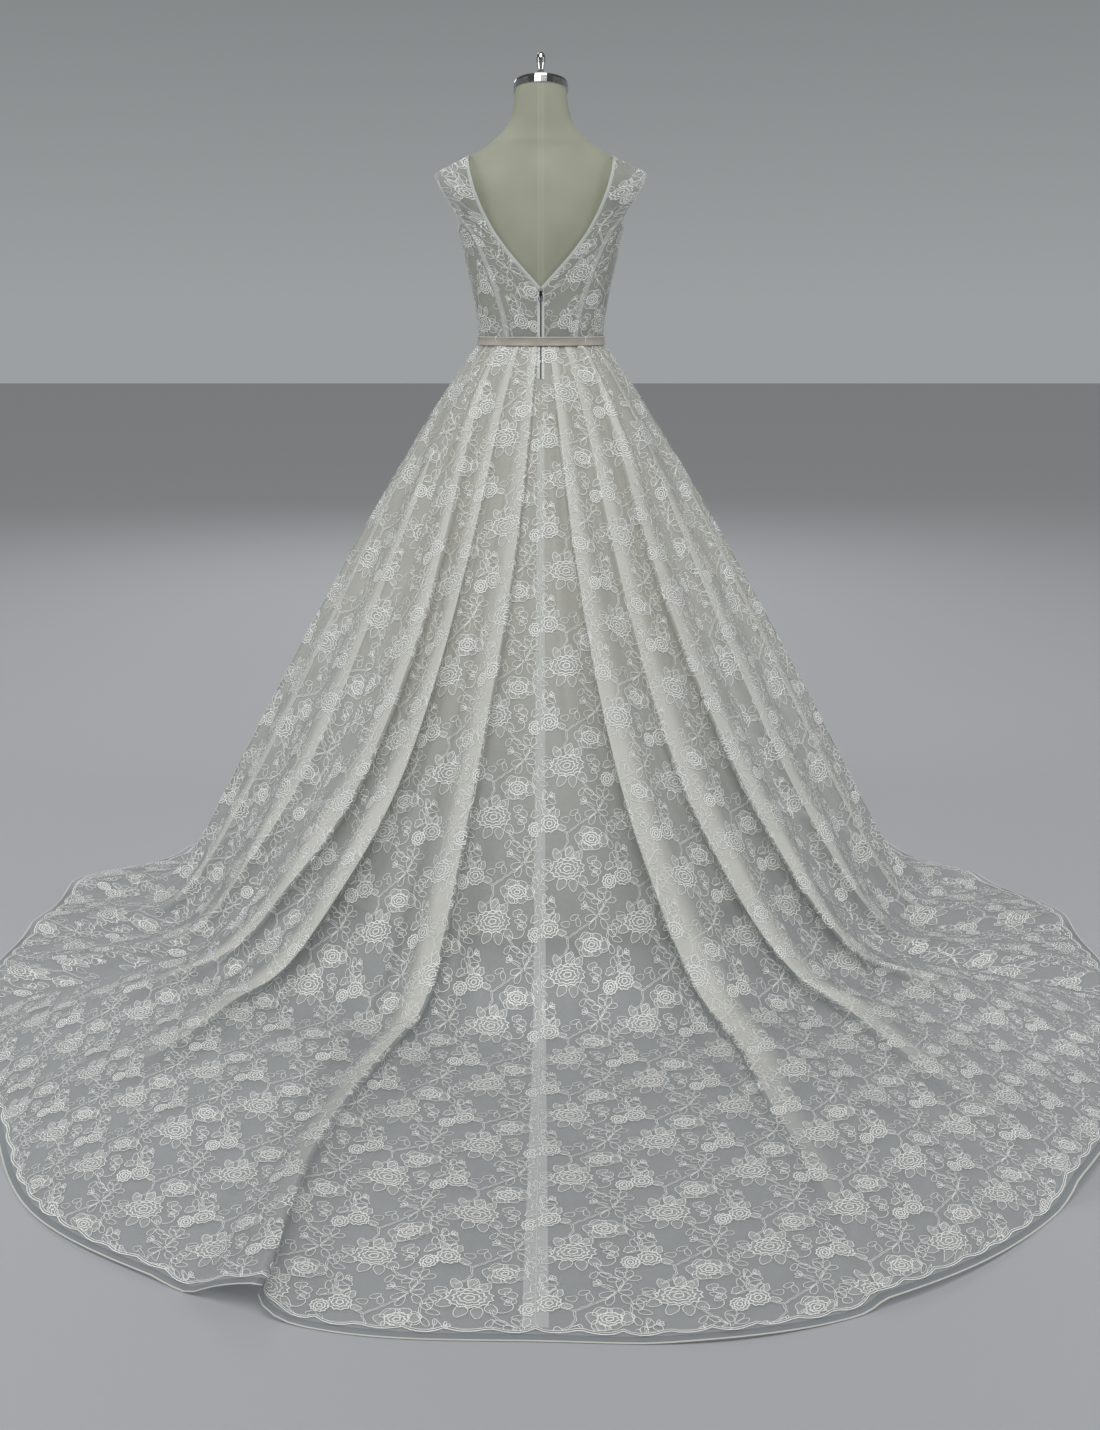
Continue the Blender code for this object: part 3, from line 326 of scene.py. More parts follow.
def creases(azimuth, level):
    """The height that the small creases add at azimuths and levels."""
    added = np.zeros(np.broadcast_shapes(azimuth.shape, level.shape))
    for crease in CREASES:
        along = np.clip((level - crease.first) / (crease.last - crease.first), 0, 1)
        middle = smooth_read((0.0, 0.5, 1.0), crease.azimuths, along)
        radius = np.interp(level, (0.0, 1.0, 2.0), (0.1, 0.74, 1.4))
        away = (azimuth - middle) * np.pi / 180 * radius / (crease.half_mm / 1000)
        ends = np.sin(np.pi * along) ** 0.7
        added = added + crease.height_mm / 1000 * ends * np.exp(-(away**2))
    return added


def grid_normals(grid, closed=False):
    """Unit normals of a grid of points whose rows run down and columns run round."""
    if closed:
        across = np.roll(grid, -1, axis=1) - np.roll(grid, 1, axis=1)
    else:
        across = np.gradient(grid, axis=1)
    normal = np.cross(across, np.gradient(grid, axis=0))
    return normal / np.maximum(np.linalg.norm(normal, axis=2, keepdims=True), 1e-9)


def even_places(first, last, count, levels):
    """Fold places that stand about evenly apart on the cloth, so steep sides get enough."""
    fine = np.linspace(first, last, 1200)
    grid = folded(fine, levels)
    steps = np.linalg.norm(np.diff(grid, axis=1), axis=2).mean(axis=0)
    run = np.concatenate(([0.0], np.cumsum(steps + 0.1 * steps.mean())))
    return np.interp(np.linspace(0, run[-1], count), run, fine)


def read_grid(grid, row, column):
    """A grid's values at fractional rows and columns."""
    r = np.clip(row, 0, grid.shape[0] - 1.0001)
    c = np.clip(column, 0, grid.shape[1] - 1.0001)
    i, j = r.astype(int), c.astype(int)
    s, t = r - i, c - j
    if grid.ndim == 3:
        s, t = s[..., None], t[..., None]
    top = grid[i, j] * (1 - t) + grid[i, j + 1] * t
    return top * (1 - s) + (grid[i + 1, j] * (1 - t) + grid[i + 1, j + 1] * t) * s


class Flat:
    """A panel laid out flat, so that a pattern drawn on the flat cloth can be put on it.

    across and down give each grid point's two flat measures: an angle and a distance on a
    flared panel, or two lengths on a straight one."""

    def __init__(self, grid, across, down, flare):
        self.grid = grid
        self.normals = grid_normals(grid)
        self.flare = flare
        rows, columns = across.shape
        self.low = across.min(), down.min()
        self.step = (across.max() - across.min()) / 500, (down.max() - down.min()) / 400
        ways = self.low[0] + self.step[0] * np.arange(501)
        depths = self.low[1] + self.step[1] * np.arange(401)
        column_at = np.empty((rows, len(ways)))
        down_at = np.empty((rows, len(ways)))
        index = np.arange(columns)
        for r in range(rows):
            column_at[r] = np.interp(ways, across[r], index, left=-9, right=columns + 9)
            down_at[r] = np.interp(ways, across[r], down[r])
        self.rows = np.empty((len(depths), len(ways)))
        self.columns = np.empty((len(depths), len(ways)))
        for c in range(len(ways)):
            order = np.interp(depths, down_at[:, c], np.arange(rows), left=-9, right=rows + 9)
            self.rows[:, c] = order
            self.columns[:, c] = np.interp(order, np.arange(rows), column_at[:, c])

    def lay(self, points, lift):
        """Flat points put on the panel, with whether each lands on it."""
        if self.flare:
            first = np.arctan2(points[:, 0], points[:, 1] + self.flare)
            second = np.hypot(points[:, 0], points[:, 1] + self.flare)
        else:
            first, second = points[:, 0], points[:, 1]
        c = (first - self.low[0]) / self.step[0]
        r = (second - self.low[1]) / self.step[1]
        inside = (c >= 0) & (c <= 500) & (r >= 0) & (r <= 400)
        row = read_grid(self.rows, r, c)
        column = read_grid(self.columns, r, c)
        inside &= (row >= 0) & (row <= self.grid.shape[0] - 1)
        inside &= (column >= 0) & (column <= self.grid.shape[1] - 1)
        at = read_grid(self.grid, row, column) + read_grid(self.normals, row, column) * lift
        return at, inside


# The lace's repeat, in millimetres: x runs across the cloth and y down it.
REPEAT_ACROSS = 125.0
REPEAT_DOWN = 178.0
CORD_MM = 1.0

Motif = namedtuple("Motif", "kind x y size turn")
MOTIFS = (
    Motif("great_rose", 79, 18, 27, 4),
    Motif("open_rose", 38, 146, 29, -6),
    Motif("small_rose", 109, 119, 15, 20),
    Motif("small_rose", 8, 40, 12, 80),
    Motif("filled_petal", 64, 4, 19, -118),
    Motif("filled_petal", 76, 0, 21, -98),
    Motif("filled_petal", 92, 2, 20, -62),
    Motif("filled_petal", 101, 108, 16, -120),
    Motif("filled_petal", 113, 105, 16, -70),
    Motif("filled_petal", 95, 124, 15, 165),
    Motif("petal", 70, 36, 21, 96),
    Motif("petal", 84, 35, 22, 62),
    Motif("petal", 58, 32, 20, 128),
    Motif("petal", 101, 27, 20, 30),
    Motif("petal", 103, 16, 19, -10),
    Motif("curl", 40, 36, 15, 10),
    Motif("bud", 46, 82, 15, -20),
    Motif("bud", 108, 72, 13, -150),
    Motif("leaf", 26, 96, 20, 215),
    Motif("leaf", 26, 96, 19, 160),
    Motif("leaf", 24, 92, 19, 265),
    Motif("leaf", 30, 98, 20, 20),
    Motif("leaf", 32, 104, 19, 65),
    Motif("leaf", 22, 104, 19, 120),
    Motif("leaf", 14, 74, 18, 190),
    Motif("leaf", 14, 74, 18, 250),
    Motif("leaf", 18, 72, 17, 300),
    Motif("leaf", 22, 76, 17, -10),
    Motif("leaf", 100, 88, 18, 15),
    Motif("leaf", 98, 84, 18, -40),
    Motif("leaf", 100, 92, 17, 70),
    Motif("leaf", 116, 90, 17, -60),
    Motif("leaf", 118, 60, 18, 100),
    Motif("leaf", 112, 52, 18, -20),
    Motif("leaf", 124, 42, 17, -80),
    Motif("leaf", 10, 120, 18, 200),
    Motif("leaf", 12, 122, 17, 140),
    Motif("leaf", 8, 146, 17, 110),
    Motif("leaf", 4, 168, 18, 100),
    Motif("petal", 2, 8, 17, 40),
    Motif("petal", 22, 16, 18, -30),
    Motif("petal", 24, 20, 17, 40),
    Motif("petal", 44, 8, 17, -150),
    Motif("leaf", 42, 16, 16, 160),
    Motif("leaf", 48, 60, 17, 150),
    Motif("leaf", 50, 58, 16, 60),
    Motif("leaf", 62, 100, 16, 100),
    Motif("leaf", 60, 96, 16, 30),
    Motif("petal", 58, 172, 15, 10),
    Motif("petal", 74, 160, 15, 60),
    Motif("ring", 120, 22, 8, 0),
    Motif("ring", 114, 8, 8, 0),
    Motif("ring", 20, 56, 7, 0),
    Motif("ring", 82, 112, 7, 0),
)
# Cords between the motifs, as points that each pair is led through.
STEMS = (
    ((28, 98), (38, 108), (52, 116), (66, 126), (80, 134), (92, 128)),
    ((28, 98), (36, 92), (46, 84)),
    ((80, 134), (78, 148), (84, 162), (98, 172)),
    ((14, 74), (20, 84), (26, 96)),
    ((100, 90), (110, 98), (122, 104), (137, 110)),
    ((54, 40), (50, 50), (42, 60), (34, 66), (24, 74)),
    ((116, 62), (120, 74), (118, 88)),
    ((8, 148), (12, 136), (10, 122)),
)


def turned(points, degrees, x, y):
    """A line turned by degrees and moved."""
    a = math.radians(degrees)
    spin = np.array(((math.cos(a), math.sin(a)), (-math.sin(a), math.cos(a))))
    return np.asarray(points) @ spin + np.array((x, y))


def wavy_ring(across, down, waves, depth, start, steps):
    """A closed loop whose edge waves in and out."""
    t = np.linspace(0, 2 * math.pi, steps + 1)
    out = 1 + depth * np.cos(waves * t + start) + 0.4 * depth * np.sin(2 * t + 2 * start)
    return np.stack((across * out * np.cos(t), down * out * np.sin(t)), axis=1)


def petal_loop(length, width, point, steps):
    """A closed loop from a narrow foot at the origin, round at its end or pointed."""
    t = np.linspace(0, 2 * math.pi, steps + 1)
    x = length * (0.5 - 0.5 * np.cos(t))
    y = width / 2 * np.sin(t) * (1.15 - point * np.cos(t)) * 0.9
    return np.stack((x, y), axis=1)


def led_through(places, spacing):
    """A smooth line through places, with a point about every spacing."""
    places = np.asarray(places, float)
    run = np.concatenate(([0.0], np.cumsum(np.linalg.norm(np.diff(places, axis=0), axis=1))))
    at = np.linspace(0, run[-1], max(int(run[-1] / spacing), 2) + 1)
    return np.stack([smooth_read(run, places[:, k], at) for k in (0, 1)], axis=1)


def beside(line, distance):
    """The line moved sideways, by one distance or by one for each point."""
    along = np.gradient(line, axis=0)
    along /= np.linalg.norm(along, axis=1, keepdims=True)
    return line + np.stack((-along[:, 1], along[:, 0]), axis=1) * np.reshape(distance, (-1, 1))


def rose(size, squeeze, petals, rings):
    """A rose head: close scalloped rings, with open petals round them. A wide head is
    nearly all rings, and an open one has a small heart in a wide ring of petals."""
    lines, light, dense = [], [], []
    heart = 1.0 if petals == 0 else 0.52
    for ring in range(rings):
        share = heart * (ring + 0.9) / (rings - 0.1)
        waves = 5 + 3 * ring
        loop = wavy_ring(size * share, size * share * squeeze, waves, 0.13 - 0.015 * ring, 1.3 * ring, 3 * waves)
        lines.append((loop, CORD_MM * 1.9))
    dense.append(wavy_ring(size * heart * 0.95, size * heart * 0.95 * squeeze, 6, 0.05, 0.7, 14))
    for petal in range(petals):
        angle = 360.0 * petal / petals + 14 * math.sin(petal * 2.1)
        a = math.radians(angle)
        reach = size * 0.5 * (1.0 + 0.12 * math.sin(petal * 1.7)) * math.hypot(math.cos(a), squeeze * math.sin(a))
        loop = petal_loop(reach, size * 0.66, -0.45, 12)
        loop[:, 1] += 0.04 * size * np.sin(loop[:, 0] / size * 9)
        loop = turned(loop, angle, size * 0.48 * math.cos(a), size * 0.48 * squeeze * math.sin(a))
        lines.append((loop, CORD_MM))
        light.append(loop)
    return lines, light, dense


def motif(kind, size):
    """A motif's cords, each with its width, and its lightly and closely filled parts."""
    if kind == "great_rose":
        return rose(size, 0.68, 0, 4)
    if kind == "open_rose":
        return rose(size, 0.72, 9, 3)
    if kind == "small_rose":
        return rose(size, 0.9, 0, 3)
    if kind == "curl":
        t = np.linspace(0.2, 4.2, 16)
        arm = np.stack((size * np.cos(t), size * 0.8 * np.sin(t)), axis=1) * (0.75 + 0.06 * t)[:, None]
        drop = turned(petal_loop(size * 0.4, size * 0.3, 0, 7), 160, *arm[-1])
        return [(arm, CORD_MM * 1.1), (drop, CORD_MM)], [], []
    if kind in ("petal", "filled_petal"):
        loop = petal_loop(size, size * 0.66, -0.4, 12)
        loop[:, 1] += 0.04 * size * np.sin(loop[:, 0] * 0.6)
        return [(loop, CORD_MM)], [loop], [loop] if kind == "filled_petal" else []
    if kind == "leaf":
        loop = petal_loop(size, size * 0.5, 0.3, 10)
        return [(loop, CORD_MM * 0.9)], [], []
    if kind == "ring":
        loop = wavy_ring(size, size * 0.8, 3, 0.14, size, 11)
        return [(loop, CORD_MM * 0.8)], [], []
    lines, light = [], []
    for lobe in (-40, 0, 40):
        loop = turned(petal_loop(size * 0.7, size * 0.3, 0, 7), lobe, 0, 0)
        lines.append((loop, CORD_MM * 1.1))
        light.append(loop)
    stem = np.array(((-size * 1.1, 1.5), (-size * 0.5, -0.8), (0, 0)))
    return lines + [(stem, CORD_MM)], light, []


def lace_repeat():
    """The repeat's cords and fills, in metres on the flat cloth."""
    lines, light, dense = [], [], []
    for row in MOTIFS:
        found = motif(row.kind, row.size)
        for line, width in found[0]:
            lines.append((turned(line, row.turn, row.x, row.y), width))
        light += [turned(loop, row.turn, row.x, row.y) for loop in found[1]]
        dense += [turned(loop, row.turn, row.x, row.y) for loop in found[2]]
    for stem in STEMS:
        line = led_through(stem, 4.2)
        wave = np.sin(np.arange(len(line)) * 1.9) * 0.7
        wave[[0, -1]] = 0
        lines.append((beside(line, 1.0 + wave), CORD_MM * 0.8))
        lines.append((beside(line, -1.2 + wave[::-1]), CORD_MM * 0.7))
    return lines, light, dense


def ribbons(lines):
    """Each cord as a flat ribbon on the flat cloth: its points and four-sided faces."""
    points, faces, count = [], [], 0
    for line, width in lines:
        half = width / 2
        size = len(line)
        points.append(np.stack((beside(line, half), beside(line, -half)), axis=1).reshape(-1, 2))
        index = count + 2 * np.arange(size - 1)
        faces.append(np.stack((index, index + 1, index + 3, index + 2), axis=1))
        count += 2 * size
    return np.concatenate(points) / 1000, np.concatenate(faces)


def patches(loops):
    """Each filled part as a fan of triangles round its middle."""
    points, faces, count = [], [], 0
    for loop in loops:
        ring = loop[:-1]
        size = len(ring)
        points.append(np.concatenate((ring, ring.mean(axis=0)[None])))
        index = np.arange(size)
        fan = (count + index, count + (index + 1) % size, np.full(size, count + size))
        faces.append(np.stack(fan, axis=1))
        count += size + 1
    return np.concatenate(points) / 1000, np.concatenate(faces)


def repeated(points, faces, flat, low, high, lift, start=(0.0, 0.0), scale=1.0):
    """The repeat laid side by side over a panel, from its low to its high flat corner,
    leaving out what falls off the panel. Every second column is dropped by half a repeat."""
    across, down = REPEAT_ACROSS * scale / 1000, REPEAT_DOWN * scale / 1000
    points = points * scale
    kept_points, kept_faces, count = [], [], 0
    for i in range(math.floor((low[0] - start[0]) / across) - 1, math.ceil((high[0] - start[0]) / across) + 1):
        for j in range(math.floor((low[1] - start[1]) / down) - 1, math.ceil((high[1] - start[1]) / down) + 1):
            place = points + np.array((start[0] + i * across, start[1] + (j + 0.5 * (i % 2)) * down))
            at, inside = flat.lay(place, lift)
            good = inside[faces].all(axis=1)
            if not good.any():
                continue
            used = np.unique(faces[good])
            order = np.full(len(points), -1)
            order[used] = count + np.arange(len(used))
            laid = order[faces[good]]
            kept_points.append(at[used])
            kept_faces.append(laid)
            count += len(used)
    return np.concatenate(kept_points), np.concatenate(kept_faces)


def colour(code, alpha=1.0):
    """An sRGB hex colour as the linear values that sockets take."""
    parts = [int(code[i:i + 2], 16) / 255 for i in (1, 3, 5)]
    return (*[p / 12.92 if p <= 0.04045 else ((p + 0.055) / 1.055) ** 2.4 for p in parts], alpha)


def add(tree, kind, links=(), **settings):
    """Adds a node. Settings name its own settings or, as sockets, its inputs' values, and
    links pair an input with the socket that feeds it."""
    made = tree.nodes.new(kind)
    for key, value in settings.items():
        if hasattr(made, key):
            setattr(made, key, value)
        else:
            made.inputs[key.replace("_", " ")].default_value = value
    for name, source in links:
        tree.links.new(source, made.inputs[name])
    return made


def finish(name, base, roughness, **sockets):
    """A material with one Principled shader, and its tree to add a pattern to."""
    made = bpy.data.materials.new(name)
    made.use_nodes = True
    shader = made.node_tree.nodes["Principled BSDF"]
    shader.inputs["Base Color"].default_value = colour(base)
    shader.inputs["Roughness"].default_value = roughness
    for key, value in sockets.items():
        shader.inputs[key.replace("_", " ")].default_value = value
    return made, made.node_tree, shader


THREAD_RELIEF = 0.0003


def mottled(tree, shader, tone, low, high):
    """A slow change of tone between two colours."""
    place = add(tree, "ShaderNodeTexCoord").outputs["Object"]
    slow = add(tree, "ShaderNodeTexNoise", [("Vector", place)], Scale=tone, Detail=1.0)
    ramp = add(tree, "ShaderNodeValToRGB", [("Fac", slow.outputs["Fac"])])
    ramp.color_ramp.elements[0].color = colour(low)
    ramp.color_ramp.elements[0].position = 0.3
    ramp.color_ramp.elements[1].color = colour(high)
    ramp.color_ramp.elements[1].position = 0.7
    tree.links.new(ramp.outputs["Color"], shader.inputs["Base Color"])


def woven(tree, shader, threads_mm, depth, tone, low, high):
    """Threads that cross at a spacing, as a little relief, and a slow change of tone."""
    place = add(tree, "ShaderNodeTexCoord").outputs["Object"]
    weave = add(tree, "ShaderNodeTexVoronoi", [("Vector", place)], Scale=1000 / threads_mm)
    bump = add(tree, "ShaderNodeBump", [("Height", weave.outputs["Distance"])],
               Strength=depth, Distance=THREAD_RELIEF)
    tree.links.new(bump.outputs["Normal"], shader.inputs["Normal"])
    mottled(tree, shader, tone, low, high)


def tulle_net():
    """Fine nylon tulle: the ground of the lace, a faint veil that lightens what is behind."""
    made, tree, shader = finish("nylon_tulle", "#EEF0EC", 0.7, Alpha=0.2)
    mottled(tree, shader, 30, "#E9EBE6", "#F3F4F0")
    return made


def lace_cord():
    """Twisted rayon cord, raised on the net: bright lines with a soft gloss."""
    made, tree, shader = finish("rayon_cord", "#F8F8F4", 0.5, Sheen_Weight=0.2)
    mottled(tree, shader, 60, "#F4F5F0", "#FBFBF8")
    return made


def lace_fill(name, alpha):
    """Cotton clipping inside the petals, thicker than the net and not quite opaque."""
    made, tree, shader = finish(name, "#F2F3EE", 0.85, Alpha=alpha)
    mottled(tree, shader, 60, "#ECEEE8", "#F5F6F2")
    return made


def painted_shade_by_height(tree, shader, low, high, low_z, high_z):
    """Painted shade: a colour that changes from the floor upwards."""
    place = add(tree, "ShaderNodeTexCoord").outputs["Object"]
    parts = add(tree, "ShaderNodeSeparateXYZ", [("Vector", place)])
    rise = add(tree, "ShaderNodeMapRange", [("Value", parts.outputs["Z"])], From_Min=low_z, From_Max=high_z)
    ramp = add(tree, "ShaderNodeValToRGB", [("Fac", rise.outputs["Result"])])
    ramp.color_ramp.elements[0].color = colour(low)
    ramp.color_ramp.elements[1].color = colour(high)
    tree.links.new(ramp.outputs["Color"], shader.inputs["Base Color"])


def silk_organza():
    """Silk organza under the lace: smooth and sheer. Its colour carries painted shade: cream
    high up, where the lining backs it, and darker grey down on the train, for the shade there."""
    made, tree, shader = finish("silk_organza", "#C4C8C4", 0.45, Alpha=0.6, Sheen_Weight=0.3)
    # Painted shade: darker grey towards the floor, cream higher up.
    painted_shade_by_height(tree, shader, "#949B9D", "#C6C5B8", 0.03, 0.6)
    return made


def doubled_organza_painted_highlight():
    """The same organza folded on itself inside a pleat: less sheer, and lighter and creamier,
    partly from the doubled cloth and partly a painted highlight; it fades where the fold under it runs out."""
    made, tree, shader = finish("silk_organza_doubled_painted_highlight", "#E4E3DA", 0.5, Alpha=0.8, Sheen_Weight=0.3)
    mottled(tree, shader, 6, "#E0DFD5", "#E8E7DE")
    fade = add(tree, "ShaderNodeAttribute", attribute_name="fade").outputs["Fac"]
    left = add(tree, "ShaderNodeMapRange", [("Value", fade)], To_Min=0.8, To_Max=0.0)
    tree.links.new(left.outputs["Result"], shader.inputs["Alpha"])
    return made


def bodice_net(name, base, alpha):
    """Two layers of soft net that line the bodice: ivory, half hiding the form behind."""
    return finish(name, base, 0.75, Alpha=alpha, Sheen_Weight=0.3)[0]


def satin_lining():
    """Close-woven polyester satin lining, matt side out: warm cream behind the lace."""
    made, tree, shader = finish("satin_lining", "#B8B4A5", 0.6)
    woven(tree, shader, 0.6, 0.2, 5, "#B4AFA0", "#BDB9AB")
    return made


def belt_satin():
    """Duchesse satin ribbon: pinkish ivory with a soft sheen along its length."""
    made, tree, shader = finish("duchesse_satin", "#B3ACA0", 0.42, Sheen_Weight=0.2)
    woven(tree, shader, 0.5, 0.25, 25, "#AEA79B", "#BAB3A8")
    return made


def belt_edge():
    """The ribbon's folded upper edge, where the satin is doubled: its lighter colour is a painted highlight for the
    light it catches.
    """
    made, tree, shader = finish("duchesse_satin_fold_painted_highlight", "#D6D2C9", 0.38, Sheen_Weight=0.2)
    woven(tree, shader, 0.5, 0.25, 25, "#D2CDC3", "#DCD8D0")
    return made


def form_linen():
    """Linen over padding: cream-green, matt, with a fine plain weave and the centre back
    seam as two faint lighter lines."""
    made, tree, shader = finish("plain_linen", "#A8AA97", 0.9)
    woven(tree, shader, 0.9, 0.5, 12, "#A3A591", "#AEB09D")
    weave = shader.inputs["Base Color"].links[0].from_socket
    place = add(tree, "ShaderNodeTexCoord").outputs["Object"]
    parts = add(tree, "ShaderNodeSeparateXYZ", [("Vector", place)])
    off = add(tree, "ShaderNodeMath", [("Value", parts.outputs["X"])], operation="ABSOLUTE")
    line = add(tree, "ShaderNodeValToRGB", [("Fac", off.outputs["Value"])])
    stops = line.color_ramp.elements
    for share, code in ((0.0006, "#FFFFFF"), (0.0014, "#000000"), (0.0026, "#000000"), (0.0034, "#C8C8C8"), (0.0046, "#000000")):
        made_stop = stops.new(share)
        made_stop.color = colour(code)
    stops[0].color = colour("#606060")
    stops[-1].color = colour("#000000")
    lighter = add(tree, "ShaderNodeMix", [(6, weave), (0, line.outputs["Color"])], data_type="RGBA")
    lighter.inputs[7].default_value = colour("#BEC0AE")
    tree.links.new(lighter.outputs[2], shader.inputs["Base Color"])
    return made


def polished_steel():
    """Polished stainless steel on the neck cap, the finial and the pole: clear reflections."""
    made, tree, shader = finish("polished_steel", "#C9C8C4", 0.12, Metallic=1.0)
    place = add(tree, "ShaderNodeTexCoord").outputs["Object"]
    smear = add(tree, "ShaderNodeTexNoise", [("Vector", place)], Scale=90.0, Detail=4.0)
    dull = add(tree, "ShaderNodeMapRange", [("Value", smear.outputs["Fac"])], To_Min=0.08, To_Max=0.2)
    tree.links.new(dull.outputs["Result"], shader.inputs["Roughness"])
    return made


def zip_metal():
    """Nickel-plated zinc, the slider and its ring: dark silver, its gloss varying a little."""
    made, tree, shader = finish("nickel_plated_zinc", "#3C3E40", 0.3, Metallic=1.0)
    place = add(tree, "ShaderNodeTexCoord").outputs["Object"]
    smear = add(tree, "ShaderNodeTexNoise", [("Vector", place)], Scale=900.0, Detail=3.0)
    dull = add(tree, "ShaderNodeMapRange", [("Value", smear.outputs["Fac"])], To_Min=0.2, To_Max=0.4)
    tree.links.new(dull.outputs["Result"], shader.inputs["Roughness"])
    return made


def powder_coat():
    """Powder-coated steel plate, the stand's base: near black with a fine orange peel."""
    made, tree, shader = finish("powder_coated_steel", "#2A2A2C", 0.5)
    woven(tree, shader, 1.5, 0.3, 8, "#262628", "#303033")
    return made


LOOKS = {
    "tulle": tulle_net(),
    "cord": lace_cord(),
    "fill": lace_fill("cotton_clipping", 0.15),
    "close_fill": lace_fill("close_cotton_clipping", 0.22),
    "organza": silk_organza(),
    "belt_edge": belt_edge(),
    "lining": satin_lining(),
    "doubled": doubled_organza_painted_highlight(),
    "bodice_net": bodice_net("soft_nylon_net", "#BFC1BB", 0.5),
    "seam_net": bodice_net("folded_nylon_net", "#EFF2F0", 0.46),
    "edge_fold": bodice_net("folded_lace_edge", "#E6E9E6", 0.88),
    "binding": bodice_net("net_binding", "#E6E9E6", 0.62),
    "zip_tape": bodice_net("polyester_tape", "#3E403C", 1.0),
    "zip_teeth": bodice_net("nylon_coil", "#585A55", 1.0),
    "satin": belt_satin(),
    "linen": form_linen(),
    "steel": polished_steel(),
    "zip": zip_metal(),
    "coat": powder_coat(),
}


def piece(name, points, faces, look, smooth=True):
    """A mesh from points and faces, riding with the dress."""
    mesh = bpy.data.meshes.new(name)
    points = np.asarray(points, np.float32).reshape(-1, 3)
    faces = np.asarray(faces, np.int32)
    sides = faces.shape[1]
    mesh.vertices.add(len(points))
    mesh.vertices.foreach_set("co", points.ravel())
    mesh.loops.add(faces.size)
    mesh.loops.foreach_set("vertex_index", faces.ravel())
    mesh.polygons.add(len(faces))
    mesh.polygons.foreach_set("loop_start", np.arange(0, faces.size, sides, dtype=np.int32))
    mesh.update(calc_edges=True)
    if smooth:
        mesh.shade_smooth()
    mesh.materials.append(LOOKS[look])
    made = bpy.data.objects.new(name, mesh)
    bpy.context.scene.collection.objects.link(made)
    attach(made, BODY)
    return made


def grid_faces(rows, columns, closed=False):
    """Four-sided faces between neighbouring rows and columns of points."""
    spans = columns if closed else columns - 1
    r, c = np.meshgrid(np.arange(rows - 1), np.arange(spans), indexing="ij")
    d = (c + 1) % columns
    corners = (r * columns + c, (r + 1) * columns + c, (r + 1) * columns + d, r * columns + d)
    return np.stack([corner.ravel() for corner in corners], axis=1)


def sheet_piece(name, grid, look, closed=False):
    """A piece of cloth from a grid of points."""
    return piece(name, grid, grid_faces(*grid.shape[:2], closed), look)


# A skirt panel's name, its first and last fold place, its columns, and the share of the
# way across where its lace stands upright.
SkirtPanel = namedtuple("SkirtPanel", "name first last columns upright")
SKIRT_PANELS = (
    SkirtPanel("side_right", 3.30, 6.30, 110, 0.5),
    SkirtPanel("back_right", 6.30, 11.0, 150, 1.0),
    SkirtPanel("back_left", 11.0, 15.65, 150, 0.0),
    SkirtPanel("side_left", 15.65, 18.70, 110, 0.5),
    SkirtPanel("front", 18.70, 26.30, 170, 0.5),
)
SKIRT_LEVELS = np.concatenate((np.linspace(0, 1, 46), np.linspace(1, 2, 40)[1:]))
# The rows where the skirt bends onto the floor, which the organza keeps all of.
BEND_ROWS = 38, 58
APEX_ABOVE_WAIST = 0.17
LACE_GRIDS = {}
SCALLOP = 0.052
SCALLOP_DEPTH = 0.009


def make_hem_cords(panel, lace, out, back_in):
    """Two cords that edge the scalloped hem of the lace, with the net left open between."""
    fine = np.linspace(0, lace.shape[1] - 1, lace.shape[1] * 2 - 1)
    index = np.arange(lace.shape[1])
    points, faces, count = [], [], 0
    for inset, half in ((0.0006, 0.0009), (0.0040, 0.0006)):
        middle = lace[-1] + back_in * inset + out[-1] * 0.0009
        for line in ((middle - back_in * half, middle + back_in * half),):
            pair = [np.stack([np.interp(fine, index, side[:, k]) for k in range(3)], axis=1) for side in line]
            points.append(np.stack(pair, axis=1).reshape(-1, 3))
            step = count + 2 * np.arange(len(fine) - 1)
            faces.append(np.stack((step, step + 1, step + 3, step + 2), axis=1))
            count += 2 * len(fine)
    return piece("hem_cords_" + panel.name, np.concatenate(points), np.concatenate(faces), "cord", smooth=False)


